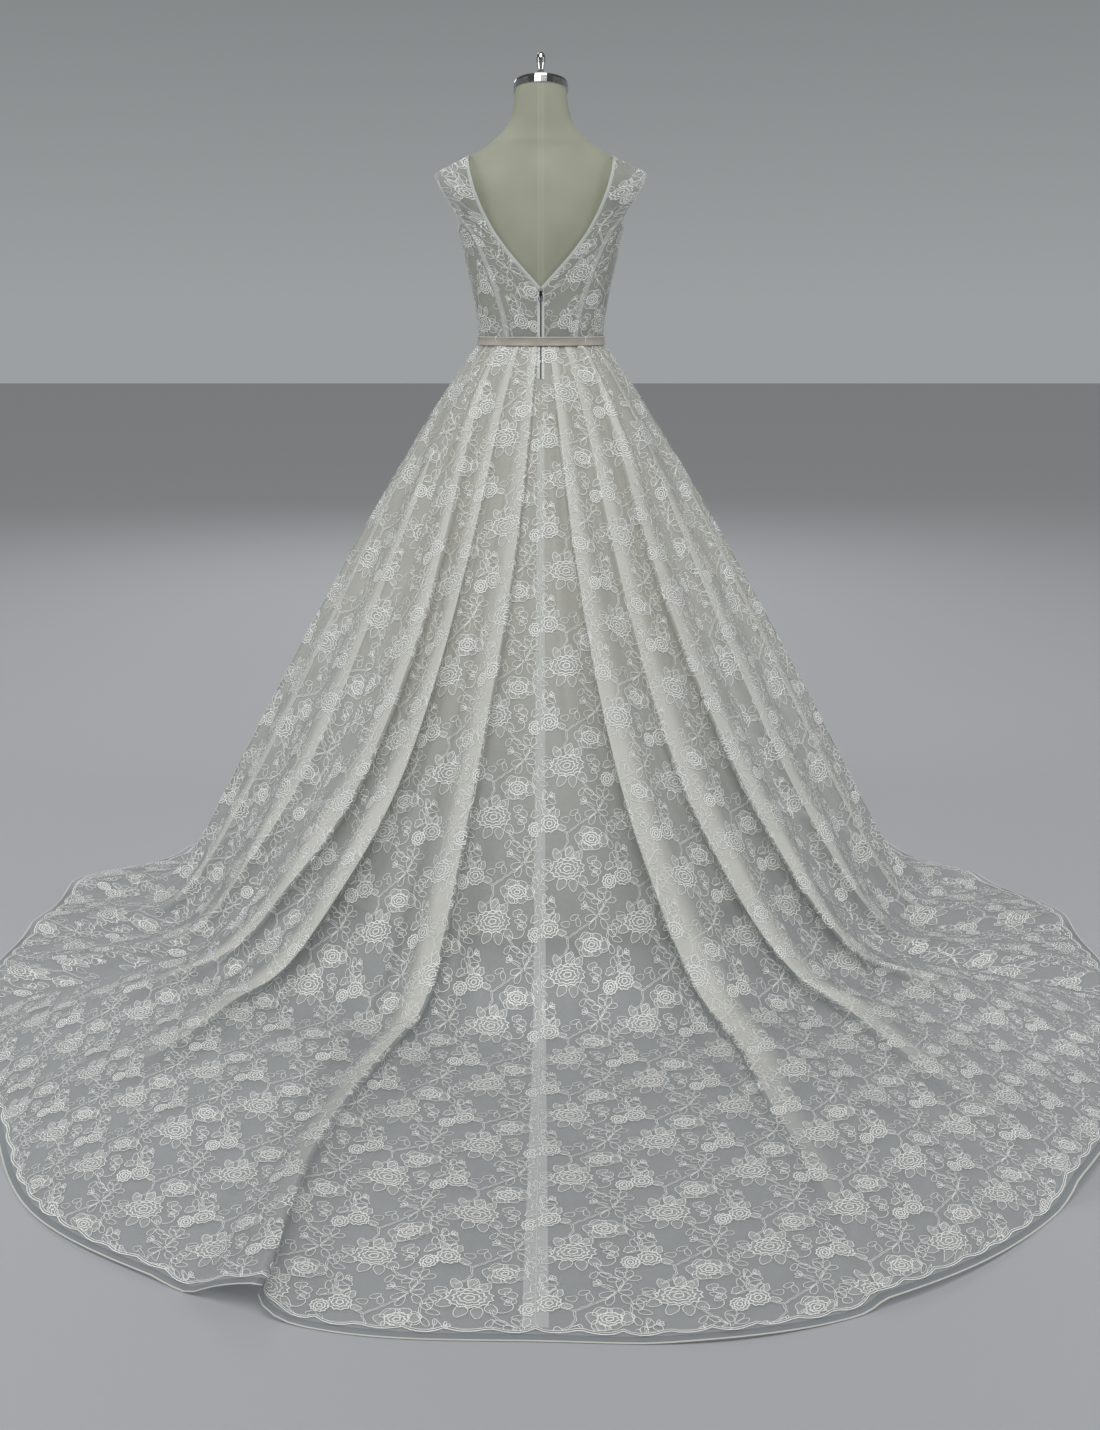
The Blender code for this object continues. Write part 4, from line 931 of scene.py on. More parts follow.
def make_skirt(panel):
    """One skirt panel: its lace with cords and fills, over its layer of organza."""
    places = even_places(panel.first, panel.last, panel.columns, SKIRT_LEVELS[::6])
    base = folded(places, SKIRT_LEVELS)
    out = grid_normals(base)
    lace = base + out * (CLOTH + GAP)
    LACE_GRIDS[panel.name] = places, lace
    ground = sheet_piece("lace_" + panel.name, lace, "tulle")
    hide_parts("skirt_" + panel.name)
    edge_run = np.concatenate(([0.0], np.cumsum(np.linalg.norm(np.diff(lace[-1], axis=0), axis=1))))
    scallops = max(round(edge_run[-1] / SCALLOP), 1)
    wave = np.abs(np.sin(np.pi * scallops * edge_run / edge_run[-1])) ** 0.7
    wave *= 1 - 0.25 * np.sin(edge_run / SCALLOP * 1.3) ** 2
    back_in = lace[-2] - lace[-1]
    back_in /= np.linalg.norm(back_in, axis=1, keepdims=True)
    lace[-1] += back_in * (SCALLOP_DEPTH * (1 - wave))[:, None]
    run = np.concatenate((np.zeros((len(lace), 1)), np.cumsum(np.linalg.norm(np.diff(lace, axis=1), axis=2), axis=1)), axis=1)
    upright = int(round(panel.upright * (panel.columns - 1)))
    run -= run[:, upright:upright + 1]
    fall = np.concatenate((np.zeros((1, panel.columns)), np.cumsum(np.linalg.norm(np.diff(lace, axis=0), axis=2), axis=0)))
    distance = APEX_ABOVE_WAIST + fall
    angle = run / distance
    flat = Flat(lace, angle, distance, APEX_ABOVE_WAIST)
    wide = (distance * np.sin(angle)).min(), (distance * np.sin(angle)).max()
    long = (distance * np.cos(angle)).min() - APEX_ABOVE_WAIST, distance.max() - APEX_ABOVE_WAIST
    low, high = (wide[0], long[0]), (wide[1], long[1])
    for name, shape, look, lift in (
        ("cords_", REPEAT_CORDS, "cord", 0.0006),
        ("fills_", REPEAT_FILLS, "fill", 0.0003),
        ("close_fills_", REPEAT_CLOSE_FILLS, "close_fill", 0.00045),
    ):
        points, faces = repeated(*shape, flat, low, high, lift)
        piece(name + panel.name, points, faces, look, smooth=False)
    make_hem_cords(panel, lace, out, back_in)
    bend, past = BEND_ROWS
    under_levels = np.concatenate((SKIRT_LEVELS[:bend:2], SKIRT_LEVELS[bend:past], SKIRT_LEVELS[past::2]))
    under = folded(places[::2] if panel.columns % 2 else np.append(places[::2], places[-1]), under_levels)
    hem = under[-1].copy()
    hem[:, 2] = 0
    under[-1] += hem / np.linalg.norm(hem, axis=1, keepdims=True) * UNDERSKIRT_EXTRA
    rolled = under[-1] - hem / np.linalg.norm(hem, axis=1, keepdims=True) * 0.0028
    turned_up = np.stack((rolled, under[-1]))
    turned_up[..., 2] += 0.0006
    # The turned-up hem takes the doubled organza, whose lighter colour is partly a painted highlight.
    hem_roll = sheet_piece("organza_hem_" + panel.name, turned_up, "doubled")
    # The organza's colour carries painted shade, darker towards the floor.
    organza = sheet_piece("organza_" + panel.name, under, "organza")
    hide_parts("underskirt_" + panel.name)


REPEAT = lace_repeat()
REPEAT_CORDS = ribbons(REPEAT[0])
REPEAT_FILLS = patches(REPEAT[1])
REPEAT_CLOSE_FILLS = patches(REPEAT[2])
for panel in SKIRT_PANELS:
    make_skirt(panel)


# A pleat's return: the cloth that turns back under a ridge. Its fold, its first and last
# level, and its greatest width.
PleatReturn = namedtuple("PleatReturn", "fold first last width_mm")
PLEAT_RETURNS = (
    PleatReturn("inner_left", 0.0, 1.9, 74),
    PleatReturn("inner_right", 0.0, 1.9, 70),
    PleatReturn("middle_left", 0.0, 1.7, 66),
    PleatReturn("middle_right", 0.0, 1.85, 72),
    PleatReturn("outer_left", 0.0, 1.6, 56),
    PleatReturn("outer_right", 0.0, 1.6, 58),
    PleatReturn("side_back_left", 0.0, 1.3, 44),
    PleatReturn("side_back_right_2", 0.0, 1.3, 46),
    PleatReturn("side_back_left_2", 0.05, 1.3, 38),
    PleatReturn("side_back_right", 0.05, 1.3, 38),
    PleatReturn("side_left", 0.05, 1.2, 34),
    PleatReturn("side_right_2", 0.05, 1.2, 34),
)


def make_pleat_return(row):
    """The doubled cloth inside a ridge, between the organza and the lace: from the ridge's
    steep edge back under its soft side."""
    number = [fold.name for fold in FOLDS].index(row.fold)
    left = FOLDS[number].azimuths[0] > 0
    panel = next(panel for panel in SKIRT_PANELS if panel.first <= number <= panel.last)
    places, lace = LACE_GRIDS[panel.name]
    shares = np.linspace(0, 1, 10)
    rows, fades = [], []
    for r, level in enumerate(SKIRT_LEVELS):
        if not row.first <= level <= row.last:
            continue
        along = (level - row.first) / (row.last - row.first)
        width = row.width_mm / 1000 * min(1.0, 1.6 * along + 0.22) * min(1.0, 1.3 * (1 - along) + 0.35)
        width *= 1 + 0.10 * math.sin(9 * along + number)
        keep = places >= number if left else places <= number
        line = lace[r][keep] if left else lace[r][keep][::-1]
        run = np.concatenate(([0.0], np.cumsum(np.linalg.norm(np.diff(line, axis=0), axis=1))))
        rows.append(np.stack([np.interp(shares * width, run, line[:, k]) for k in range(3)], axis=1))
        ends = np.clip((along - 0.62) / 0.38, 0, 1)
        fades.append(1 - (1 - ends) * (1 - 0.85 * np.clip((shares - 0.5) / 0.5, 0, 1)))
    grid = np.array(rows)
    out = grid_normals(grid if left else grid[:, ::-1])
    grid = grid - (out if left else out[:, ::-1]) * 0.0007
    # The doubled organza is lighter than the single layer, partly a painted highlight on the ridge.
    made = sheet_piece("pleat_return_" + row.fold, grid, "doubled")
    fade = made.data.attributes.new("fade", "FLOAT", "POINT")
    fade.data.foreach_set("value", np.array(fades, np.float32).ravel())


for row in PLEAT_RETURNS:
    make_pleat_return(row)


def make_lining():
    """The plain lining: a smooth cone inside the folds, a little above the floor."""
    azimuths = np.arange(0, 360, 5.0)
    shares = np.linspace(0, 1, 24)[:, None]
    waist = waist_radius(azimuths, -GAP)
    radius = waist + (LINING_HEM_RADIUS - waist) * shares
    height = np.broadcast_to(WAIST_SEAM_Z + (LINING_HEM_Z - WAIST_SEAM_Z) * shares, radius.shape)
    a = np.radians(azimuths)
    grid = np.stack((radius * np.sin(a), radius * np.cos(a), height), axis=-1)
    lining = sheet_piece("lining", grid, "lining", closed=True)
    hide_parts("skirt_lining")


make_lining()

FINISHES = {
    "form_torso": "linen", "form_neck_cap": "steel", "form_finial": "steel", "stand_pole": "steel",
    "stand_base": "coat", "zip_slider": "zip", "zip_pull": "zip",
}
for name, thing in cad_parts.items():
    look = FINISHES.get(name, "fill")
    thing.data.materials.clear()
    thing.data.materials.append(LOOKS[look])


def body_read(rows, column, z):
    """One of a body's measures at heights."""
    return smooth_read([row.z for row in rows], [getattr(row, column) for row in rows], z)


def body_angle(rows, x, z):
    """The section angle at which a body's outline at height z is x from the centre line."""
    share = np.clip(x / body_read(rows, "half_width", z), 0.0, 1.0)
    return np.degrees(np.arcsin(share ** (BODY_ROUNDNESS / 2)))


def body_points(rows, angle, z, face):
    """Points of a body's outline. The face is 1 for the back and -1 for the front."""
    a = np.radians(angle)
    depth = body_read(rows, "back" if face > 0 else "front", z)
    x = body_read(rows, "half_width", z) * np.abs(np.sin(a)) ** (2 / BODY_ROUNDNESS)
    y = face * depth * np.abs(np.cos(a)) ** (2 / BODY_ROUNDNESS)
    return np.stack((x, y, z), axis=-1)


def edge_rows(edges, count):
    """A panel's two edges read at an even count of rows: (inner x, inner z, outer x, outer z)."""
    at = np.linspace(0, len(edges) - 1, count)
    return [np.maximum(np.interp(at, np.arange(len(edges)), [row[k] for row in edges]), 0) for k in range(4)]


def centre_panel(edges, face, rows=64, columns=36):
    """The left half's centre panel, row by row from the waist up."""
    inner_x, inner_z, outer_x, outer_z = [side[:, None] for side in edge_rows(edges, rows)]
    inner = body_angle(BODICE_ROWS, inner_x, inner_z)
    outer = body_angle(BODICE_ROWS, outer_x, outer_z)
    share = np.linspace(0, 1, columns)[None, :]
    angle = inner + (outer - inner) * share
    return body_points(BODICE_ROWS, angle, inner_z + (outer_z - inner_z) * share, face)


def side_panel(edges, face, rows=48, columns=30):
    """The left half's side panel, from the princess seam to the side seam."""
    low = [EdgeRow(*row) for row in edges[:UNDERARM_ROW // 2 + 1]]
    _, _, outer_x, outer_z = [side[:, None] for side in edge_rows(low, rows)]
    inner = body_angle(BODICE_ROWS, outer_x, outer_z)
    rise = (outer_z - BODICE_BOTTOM_Z) / (outer_z[-1] - BODICE_BOTTOM_Z)
    side_z = outer_z + (UNDERARM_Z - outer_z[-1]) * rise
    share = np.linspace(0, 1, columns)[None, :]
    angle = inner + (90.0 - inner) * share
    low_grid = body_points(BODICE_ROWS, angle, outer_z + (side_z - outer_z) * share, face)
    after = edge_rows([EdgeRow(*row) for row in edges[UNDERARM_ROW // 2:UNDERARM_ROW // 2 + 3]], 15)
    bend = np.linspace(0, 1, 15)[1:, None]
    seam_x, seam_z = after[2][1:, None], after[3][1:, None]
    seam = body_angle(BODICE_ROWS, seam_x, seam_z)
    edge_angle = 90.0 - (90.0 - seam[-1]) * np.sin(np.pi / 2 * bend) ** 0.85
    edge_z = UNDERARM_Z + (seam_z[-1] - UNDERARM_Z) * (1 - np.cos(np.pi / 2 * bend))
    edge_angle[-1] = seam[-1] + 0.05
    rounded = body_points(BODICE_ROWS, seam + (edge_angle - seam) * share, seam_z + (edge_z - seam_z) * share, face)
    return np.concatenate((low_grid, rounded))


BODY_MIDDLE = np.array((0.0, 0.0, 1.2))


def outward(grid):
    """A bodice grid's normals, turned away from the body."""
    normal = grid_normals(grid)
    return normal if np.sum(normal * (grid - BODY_MIDDLE)) > 0 else -normal


BODICE_PANELS = (
    ("back_left", "back", 1.0),
    ("back_right", "back", -1.0),
    ("side_back_left", "side_back", 1.0),
    ("side_back_right", "side_back", -1.0),
    ("side_front_left", "side_front", 1.0),
    ("side_front_right", "side_front", -1.0),
    ("front", "front", 1.0),
)
LACE_STARTS = {"back": (0.0184, -1.218), "side_back": (0.090, 0.020), "side_front": (0.020, 0.060), "front": (0.0, 0.090)}
BODICE_LACE_SCALE = 0.86


def bodice_grids():
    """The left half's panels, and the whole front."""
    front = centre_panel(FRONT_EDGES, -1)
    whole = np.concatenate(((front * np.array((-1.0, 1.0, 1.0)))[:, :0:-1], front), axis=1)
    return {
        "back": centre_panel(BACK_EDGES, 1),
        "side_back": side_panel(BACK_EDGES, 1),
        "side_front": side_panel(FRONT_EDGES, -1),
        "front": whole,
    }


def lay_strip(name, line, beside_line, normals, thick, look, lift, across=5):
    """A narrow band on a surface: between a line and the line beside it, softly rounded."""
    share = np.linspace(0, 1, across)[:, None, None]
    crown = np.sin(np.pi * share) ** 0.5
    grid = line + (beside_line - line) * share + normals * (lift + thick * crown)
    return sheet_piece(name, grid, look), grid


def leave_neck_open(points, faces):
    """Takes out the faces that span the opening of the front neckline."""
    points = np.asarray(points).reshape(-1, 3)
    middle = points[faces].mean(axis=1)
    edge_z, edge_x = zip(*[(row.inner_z, row.inner_x) for row in FRONT_EDGES if row.inner_z >= FRONT_V_Z])
    edge = np.interp(middle[:, 2], edge_z, edge_x, left=-1.0)
    used, order = np.unique(faces[np.abs(middle[:, 0]) >= edge - 0.0012], return_inverse=True)
    return points[used], order.reshape(-1, faces.shape[1])


def make_bodice():
    """The bodice's lace panels, with the seam allowances that show through as paler bands."""
    grids = bodice_grids()
    for name, kind, turn in BODICE_PANELS:
        flip = np.array((turn, 1.0, 1.0))
        inner = grids[kind]
        out = outward(inner)
        grid = (inner + out * (CLOTH * 0.5)) * flip
        out = out * flip
        if np.sum(grid_normals(grid) * out) < 0:
            grid, out = grid[:, ::-1], out[:, ::-1]
        points, faces = grid.reshape(-1, 3), grid_faces(*grid.shape[:2])
        if kind == "front":
            points, faces = leave_neck_open(points, faces)
        ground = piece("bodice_lace_" + name, points, faces, "bodice_net")
        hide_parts("bodice_" + name)
        run = np.concatenate((np.zeros((len(grid), 1)), np.cumsum(np.linalg.norm(np.diff(grid, axis=1), axis=2), axis=1)), axis=1)
        middle = grid.shape[1] // 2 if kind == "front" else (0 if turn * (1 if grid[0, 0, 0] ** 2 < grid[0, -1, 0] ** 2 else -1) > 0 else -1)
        run = run - run[:, middle][:, None] if kind == "front" else run
        if kind == "back":
            run = (run if turn > 0 else run[:, -1:] - run) + np.abs(grid[:, 0 if turn > 0 else -1, 0])[:, None]
            run = run * turn
        fall = -grid[..., 2]
        order = slice(None, None, -1)
        flat = Flat(grid[order], run[order], fall[order], 0.0)
        flat.normals = out[order]
        low = (run.min(), fall.min())
        high = (run.max(), fall.max())
        for label, shape, look, lift in (
            ("cords_", REPEAT_CORDS, "cord", 0.0006),
            ("fills_", REPEAT_FILLS, "fill", 0.0003),
            ("close_fills_", REPEAT_CLOSE_FILLS, "close_fill", 0.00045),
        ):
            start = LACE_STARTS[kind]
            points, faces = repeated(*shape, flat, low, high, lift, start, BODICE_LACE_SCALE)
            if kind == "front":
                points, faces = leave_neck_open(points, faces)
            piece("bodice_" + label + name, points, faces, look, smooth=False)
    make_seam_bands(grids)
    make_bindings(grids)


def make_seam_bands(grids):
    """The seam allowances inside the back: paler bands beside the seams and the zip."""
    for kind, place, width, first, last in (
        ("back", "outer", 0.0105, 0, 0.70), ("front", "outer", 0.010, 0, 0.70),
        ("side_front", "inner", 0.005, 0, 0.75), ("side_back", "outer", 0.005, 0, 0.75),
    ):
        grid = grids[kind]
        if kind == "front":
            grid = grid[:, grid.shape[1] // 2:]
        out = outward(grid)
        keep = slice(int(first * len(grid)), max(int(last * len(grid)), 2))
        if place == "outer":
            line, near, normal = grid[keep, -1], grid[keep, -6], out[keep, -1]
        else:
            line, near, normal = grid[keep, 0], grid[keep, 5], out[keep, 0]
        step = near - line
        step /= np.linalg.norm(step, axis=1, keepdims=True)
        for side, turn in (("_left", 1.0), ("_right", -1.0)):
            flip = np.array((turn, 1.0, 1.0))
            made, band = lay_strip("seam_allowance_" + kind + "_" + place + side, line * flip,
                                   (line + step * width) * flip, normal * flip, 0.0, "seam_net", CLOTH * 0.5 + 0.0002)


def make_bindings(grids):
    """The net binding round the neckline and the armholes."""
    back, front = grids["back"], grids["front"][:, grids["front"].shape[1] // 2:]
    side_back, side_front = grids["side_back"], grids["side_front"]
    open_back = next(i for i, row in enumerate(back) if row[0, 0] > 0.0015)
    open_front = next(i for i, row in enumerate(front) if row[0, 0] > 0.0015)

    def edge(grid, at, keep):
        return grid[keep, at], outward(grid)[keep, at]

    def turned_band(band):
        return [part[::-1] for part in band]

    def joined(bands):
        return [np.concatenate([band[k] for band in bands]) for k in range(2)]

    def into_cloth(line, normal, middle):
        """The direction across the band, from the opening's edge into the cloth."""
        along = np.gradient(line, axis=0)
        step = np.cross(along, normal)
        step *= np.sign(np.sum(step * (line - middle), axis=1, keepdims=True))
        return step / np.linalg.norm(step, axis=1, keepdims=True)

    neck = joined([edge(back, 0, slice(open_back - 1, None)), turned_band(edge(front, 0, slice(open_front - 1, None)))])
    other = [part[::-1] * np.array((-1.0, 1.0, 1.0)) for part in neck]
    neck = [np.concatenate((a, b[1:])) for a, b in zip(neck, other)]
    after = int(np.ceil((len(back) - 1) * (UNDERARM_ROW / 2 + 2) / (len(BACK_EDGES) - 1)))
    curve = slice(len(side_back) - 14, len(side_back) - 1)
    armhole = joined([
        edge(back, -1, slice(after, None)), turned_band(edge(front, -1, slice(after, None))),
        turned_band(edge(side_front, -1, curve)), edge(side_back, -1, curve),
    ])
    made = [("neckline_binding", neck, 1.0, False), ("armhole_binding_left", armhole, 1.0, True),
            ("armhole_binding_right", armhole, -1.0, True)]
    for name, (line, normal), turn, closed in made:
        flip = np.array((turn, 1.0, 1.0))
        if closed:
            line, normal = [np.concatenate((part, part[:1])) for part in (line, normal)]
        for _ in range(4):
            line[1:-1] = (line[:-2] + 2 * line[1:-1] + line[2:]) / 4
            normal[1:-1] = (normal[:-2] + normal[1:-1] + normal[2:]) / 3
        middle = np.array((0.17, 0.0, 1.33)) if closed else np.array((0.0, 0.0, 1.37))
        step = into_cloth(line, normal, middle)
        for _ in range(3):
            step[1:-1] = (step[:-2] + step[1:-1] + step[2:]) / 3
        strip, band = lay_strip(name + "_band", line * flip, (line + step * BINDING_WIDTH) * flip,
                                normal * flip, BINDING, "binding", CLOTH * 0.5 + GAP)
        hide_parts(name)


make_bodice()


def make_form():
    """The form's body and neck, padded smooth under linen."""
    heights = np.concatenate((np.linspace(FORM_ROWS[0].z, 1.3, 50), np.linspace(1.3, FORM_ROWS[-1].z, 60)[1:]))[:, None]
    angles = np.arange(0, 360, 3.0)[None, :]
    back = body_points(FORM_ROWS, angles, np.broadcast_to(heights, (len(heights), angles.shape[1])), 1)
    front = body_points(FORM_ROWS, angles, np.broadcast_to(heights, (len(heights), angles.shape[1])), -1)
    ahead = (np.cos(np.radians(angles)) < 0)[..., None]
    grid = np.where(ahead, front, back)
    grid[..., 0] *= np.where(angles <= 180, 1.0, -1.0)
    neck = np.maximum(heights - NECK_Z, 0.0)
    lean = math.tan(math.radians(NECK_TILT))
    grid[..., 2] += neck / (FORM_ROWS[-1].z - NECK_Z) * lean * grid[..., 1]
    grid[..., 1] -= neck * lean
    points = np.concatenate((grid.reshape(-1, 3), grid[0].mean(axis=0)[None], grid[-1].mean(axis=0)[None]))
    rows, columns = grid.shape[:2]
    faces = [tuple(face) for face in grid_faces(rows, columns, closed=True)]
    low, high = rows * columns, rows * columns + 1
    for c in range(columns):
        d = (c + 1) % columns
        faces.append((d, c, low))
        faces.append(((rows - 1) * columns + c, (rows - 1) * columns + d, high))
    mesh = bpy.data.meshes.new("form_body")
    mesh.from_pydata(points.tolist(), [], faces)
    shell = bmesh.new()
    shell.from_mesh(mesh)
    bmesh.ops.recalc_face_normals(shell, faces=shell.faces)
    shell.to_mesh(mesh)
    shell.free()
    mesh.shade_smooth()
    mesh.set_sharp_from_angle(angle=math.radians(50))
    mesh.materials.append(LOOKS["linen"])
    made = bpy.data.objects.new("form_body", mesh)
    bpy.context.scene.collection.objects.link(made)
    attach(made, BODY)
    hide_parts("form_torso")


make_form()


def tube(name, lines, radius, look, sides=6):
    """Round threads led along lines of points."""
    points, faces, count = [], [], 0
    for line in lines:
        line = np.asarray(line, float)
        along = np.gradient(line, axis=0)
        along /= np.linalg.norm(along, axis=1, keepdims=True)
        side = np.cross(along, (0.31, 0.52, 0.79))
        side /= np.linalg.norm(side, axis=1, keepdims=True)
        up = np.cross(along, side)
        turn = np.linspace(0, 2 * math.pi, sides, endpoint=False)
        ring = side[:, None] * np.cos(turn)[:, None] + up[:, None] * np.sin(turn)[:, None]
        points.append((line[:, None] + ring * radius).reshape(-1, 3))
        faces.append(grid_faces(len(line), sides, closed=True)[:, ::-1] + count)
        count += len(line) * sides
    return piece(name, np.concatenate(points), np.concatenate(faces), look)


def beside_centre_back(levels, offsets, lift):
    """Points on the skirt at distances along the cloth from the centre back seam."""
    number = [fold.name for fold in FOLDS].index("centre_back_seam")
    rows = []
    for level in levels:
        halves = []
        for way in (-1, 1):
            places = number + way * np.linspace(0, 0.95, 120)
            line = folded(places, np.array([level, level + 0.01]))
            out = grid_normals(line if way > 0 else line[:, ::-1])
            out = (out if way > 0 else out[:, ::-1])[0]
            line = line[0] + out * lift
            run = np.concatenate(([0.0], np.cumsum(np.linalg.norm(np.diff(line, axis=0), axis=1))))
            halves.append((run, line))
        row = []
        for offset in offsets(level) if callable(offsets) else offsets:
            run, line = halves[1 if offset > 0 else 0]
            row.append([np.interp(abs(offset), run, line[:, k]) for k in range(3)])
        rows.append(row)
    return np.array(rows)


def make_centre_back():
    """The centre back seam: its pressed-open allowances, paler under the lace, and its line."""
    levels = np.linspace(0.16, 1.985, 110)
    line = beside_centre_back(levels, (-0.0006, 0.0006), CLOTH + GAP + 0.0008)
    seam = sheet_piece("centre_back_seam_line", line, "seam_net")
    for side, way in (("left", 1), ("right", -1)):
        def offsets(level, way=way):
            wide = np.interp(level, (0.1, 0.5, 1.2, 2.0), (0.006, 0.008, 0.011, 0.016))
            return [way * wide * share + way * 1e-5 for share in (0.0, 0.35, 0.7, 1.0)]
        grid = beside_centre_back(levels, offsets, CLOTH + GAP * 0.5)
        made = sheet_piece("centre_back_allowance_" + side, grid, "seam_net")


make_centre_back()


def bodice_at(x, z):
    """A point on the bodice's outside at the back, and its outward direction."""
    x, z = np.asarray(x, float), np.asarray(z, float)
    angle = body_angle(BODICE_ROWS, np.abs(x), z)
    at = body_points(BODICE_ROWS, angle, z, 1)
    at[..., 0] *= np.sign(x) + (x == 0)
    higher = body_points(BODICE_ROWS, body_angle(BODICE_ROWS, np.abs(x), z + 0.002), z + 0.002, 1)
    wider = body_points(BODICE_ROWS, body_angle(BODICE_ROWS, np.abs(x) + 0.002, z), z, 1)
    higher[..., 0] *= np.sign(x) + (x == 0)
    wider[..., 0] *= np.sign(x) + (x == 0)
    out = np.cross(higher - at, wider - at) * (np.sign(x) + (x == 0))[..., None]
    out *= np.sign(out[..., 1:2])
    return at, out / np.linalg.norm(out, axis=-1, keepdims=True)


def zip_grid(offsets, lift):
    """A strip beside the zip: down the bodice's back and a little down the skirt."""
    z = np.concatenate((np.linspace(ZIP_TOP_Z, BODICE_BOTTOM_Z + 0.001, 60),))[:, None]
    x = np.broadcast_to(np.asarray(offsets, float)[None, :], (len(z), len(offsets)))
    at, out = bodice_at(x, np.broadcast_to(z, x.shape))
    upper = at + out * lift
    lower = beside_centre_back(np.linspace(0.004, ZIP_SKIRT_LEVEL + 0.03, 16), offsets, lift)
    return np.concatenate((upper, lower))


def make_zip():
    """The hidden zip: a dark line of coil teeth between two folded cloth edges."""
    chain = zip_grid((-0.0013, -0.0005, 0.0005, 0.0013), CLOTH + GAP + 0.0001)
    ground = sheet_piece("zip_tape", chain, "zip_tape")
    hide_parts("zip_chain")
    bpy.ops.object.select_all(action="DESELECT")
    bpy.ops.mesh.primitive_cylinder_add(vertices=6, radius=0.00032, depth=0.0013, rotation=(0.0, math.pi / 2, 0.0))
    tooth = bpy.context.object
    bpy.ops.object.mode_set(mode="EDIT")
    bpy.ops.mesh.select_all(action="SELECT")
    bpy.ops.mesh.bevel(offset=0.0001, segments=1)
    bpy.ops.object.mode_set(mode="OBJECT")
    bpy.ops.object.transform_apply(location=False, rotation=True, scale=True)
    corners = np.array([v.co[:] for v in tooth.data.vertices])
    tooth.data.calc_loop_triangles()
    sides = np.array([t.vertices[:] for t in tooth.data.loop_triangles])
    bpy.data.objects.remove(tooth)
    middle = zip_grid((-0.00035, 0.00035), CLOTH + GAP + 0.0003)
    run = np.concatenate(([0.0], np.cumsum(np.linalg.norm(np.diff(middle[:, 0], axis=0), axis=1))))
    places = []
    for number, far in enumerate(np.arange(0.004, run[-1], 0.0009)):
        places.append([np.interp(far, run, middle[:, number % 2, k]) for k in range(3)])
    places = np.array(places)
    points = (corners[None] + places[:, None]).reshape(-1, 3)
    faces = (sides[None] + (np.arange(len(places)) * len(corners))[:, None, None]).reshape(-1, 3)
    piece("zip_teeth", points, faces, "zip_teeth", smooth=False)
    for side, way in (("left", 1), ("right", -1)):
        shares = np.linspace(0, 1, 7)
        crown = 0.0006 * np.sin(np.pi * np.clip(shares * 1.6, 0, 1)) ** 0.6
        offsets = way * (0.0007 + 0.0058 * shares)
        grid = zip_grid(offsets, CLOTH * 0.5 + 0.0002)
        lifted = zip_grid(offsets, CLOTH * 0.5 + 0.0012)
        grid = grid + (lifted - grid) * (crown / 0.001)[None, :, None]
        grid = grid if way > 0 else grid[:, ::-1]
        made = sheet_piece("zip_edge_fold_" + side, grid, "edge_fold")


make_zip()


def belt_radius(azimuth, z, out):
    """The belt's radius at azimuths."""
    base = body_read(BODICE_ROWS, "half_width", np.full(np.shape(azimuth), z)) - WAIST_HALF_WIDTH - CLOTH - GAP
    over = np.clip((azimuth - BELT_STEP_FROM) / BELT_STEP_OVER, 0, 1) * BELT_STEP
    return waist_radius(azimuth, CLOTH + GAP + CLOTH + BELT_CLEARANCE + base + out + over)


def make_belt():
    """The narrow satin belt: a folded ribbon whose end laps over at the centre back, held
    by two thread loops."""
    azimuth = np.linspace(-BELT_OVERLAP / 2, 360 + BELT_OVERLAP / 2, 420)
    section = ((0.0024, -0.30), (0.0034, -0.32), (0.0032, -0.24), (0.0020, 0.0), (0.0013, 0.3), (0.0010, 0.55),
               (0.0010, 0.84), (0.0008, 1.0), (0.0, 0.98))
    rows = []
    for out, share in section:
        sag = 0.00035 * np.sin(np.radians(azimuth) * 9 + 1.0) * math.sin(math.pi * share)
        z = BELT_BOTTOM_Z + BELT_WIDTH * share
        radius = belt_radius(azimuth, z, out + sag)
        a = np.radians(azimuth)
        rows.append(np.stack((radius * np.sin(a), radius * np.cos(a), np.full(len(a), z)), axis=-1))
    edge_rows_at = []
    for out, share in ((0.0008, 0.83), (0.0016, 0.86), (0.0018, 0.93), (0.0014, 1.0), (0.0002, 1.01)):
        radius = belt_radius(azimuth, BELT_BOTTOM_Z + BELT_WIDTH * share, out)
        height = np.full(len(azimuth), BELT_BOTTOM_Z + BELT_WIDTH * share)
        edge_rows_at.append(np.stack((radius * np.sin(a), radius * np.cos(a), height), axis=-1))
    fold = np.array(edge_rows_at)
    fold = fold if np.sum(grid_normals(fold) * (fold - (0, 0, 1.08))) > 0 else fold[:, ::-1]
    # The folded edge takes the lighter satin, a painted highlight along the belt's top.
    folded_edge = sheet_piece("belt_folded_edge", fold, "belt_edge")
    grid = np.array(rows)
    grid = grid if np.sum(grid_normals(grid) * (grid - (0, 0, 1.08))) > 0 else grid[:, ::-1]
    belt = sheet_piece("belt_ribbon", grid, "satin")
    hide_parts("waist_belt")
    loops = []
    for x in (0.073, -0.072):
        azimuths = [math.degrees(math.atan2(x + 0.0006 * k, 0.066)) for k in (-1, 1)]
        for at in azimuths:
            line = []
            for share in np.linspace(-0.06, 1.06, 12):
                z = BELT_BOTTOM_Z + BELT_WIDTH * share
                out = 0.0019 if 0.03 < share < 0.97 else 0.0002
                radius = float(belt_radius(np.array([at]), z, out)[0])
                line.append((radius * math.sin(math.radians(at)), radius * math.cos(math.radians(at)), z))
            loops.append(line)
    tube("belt_thread_loops", loops, 0.0004, "cord")


make_belt()


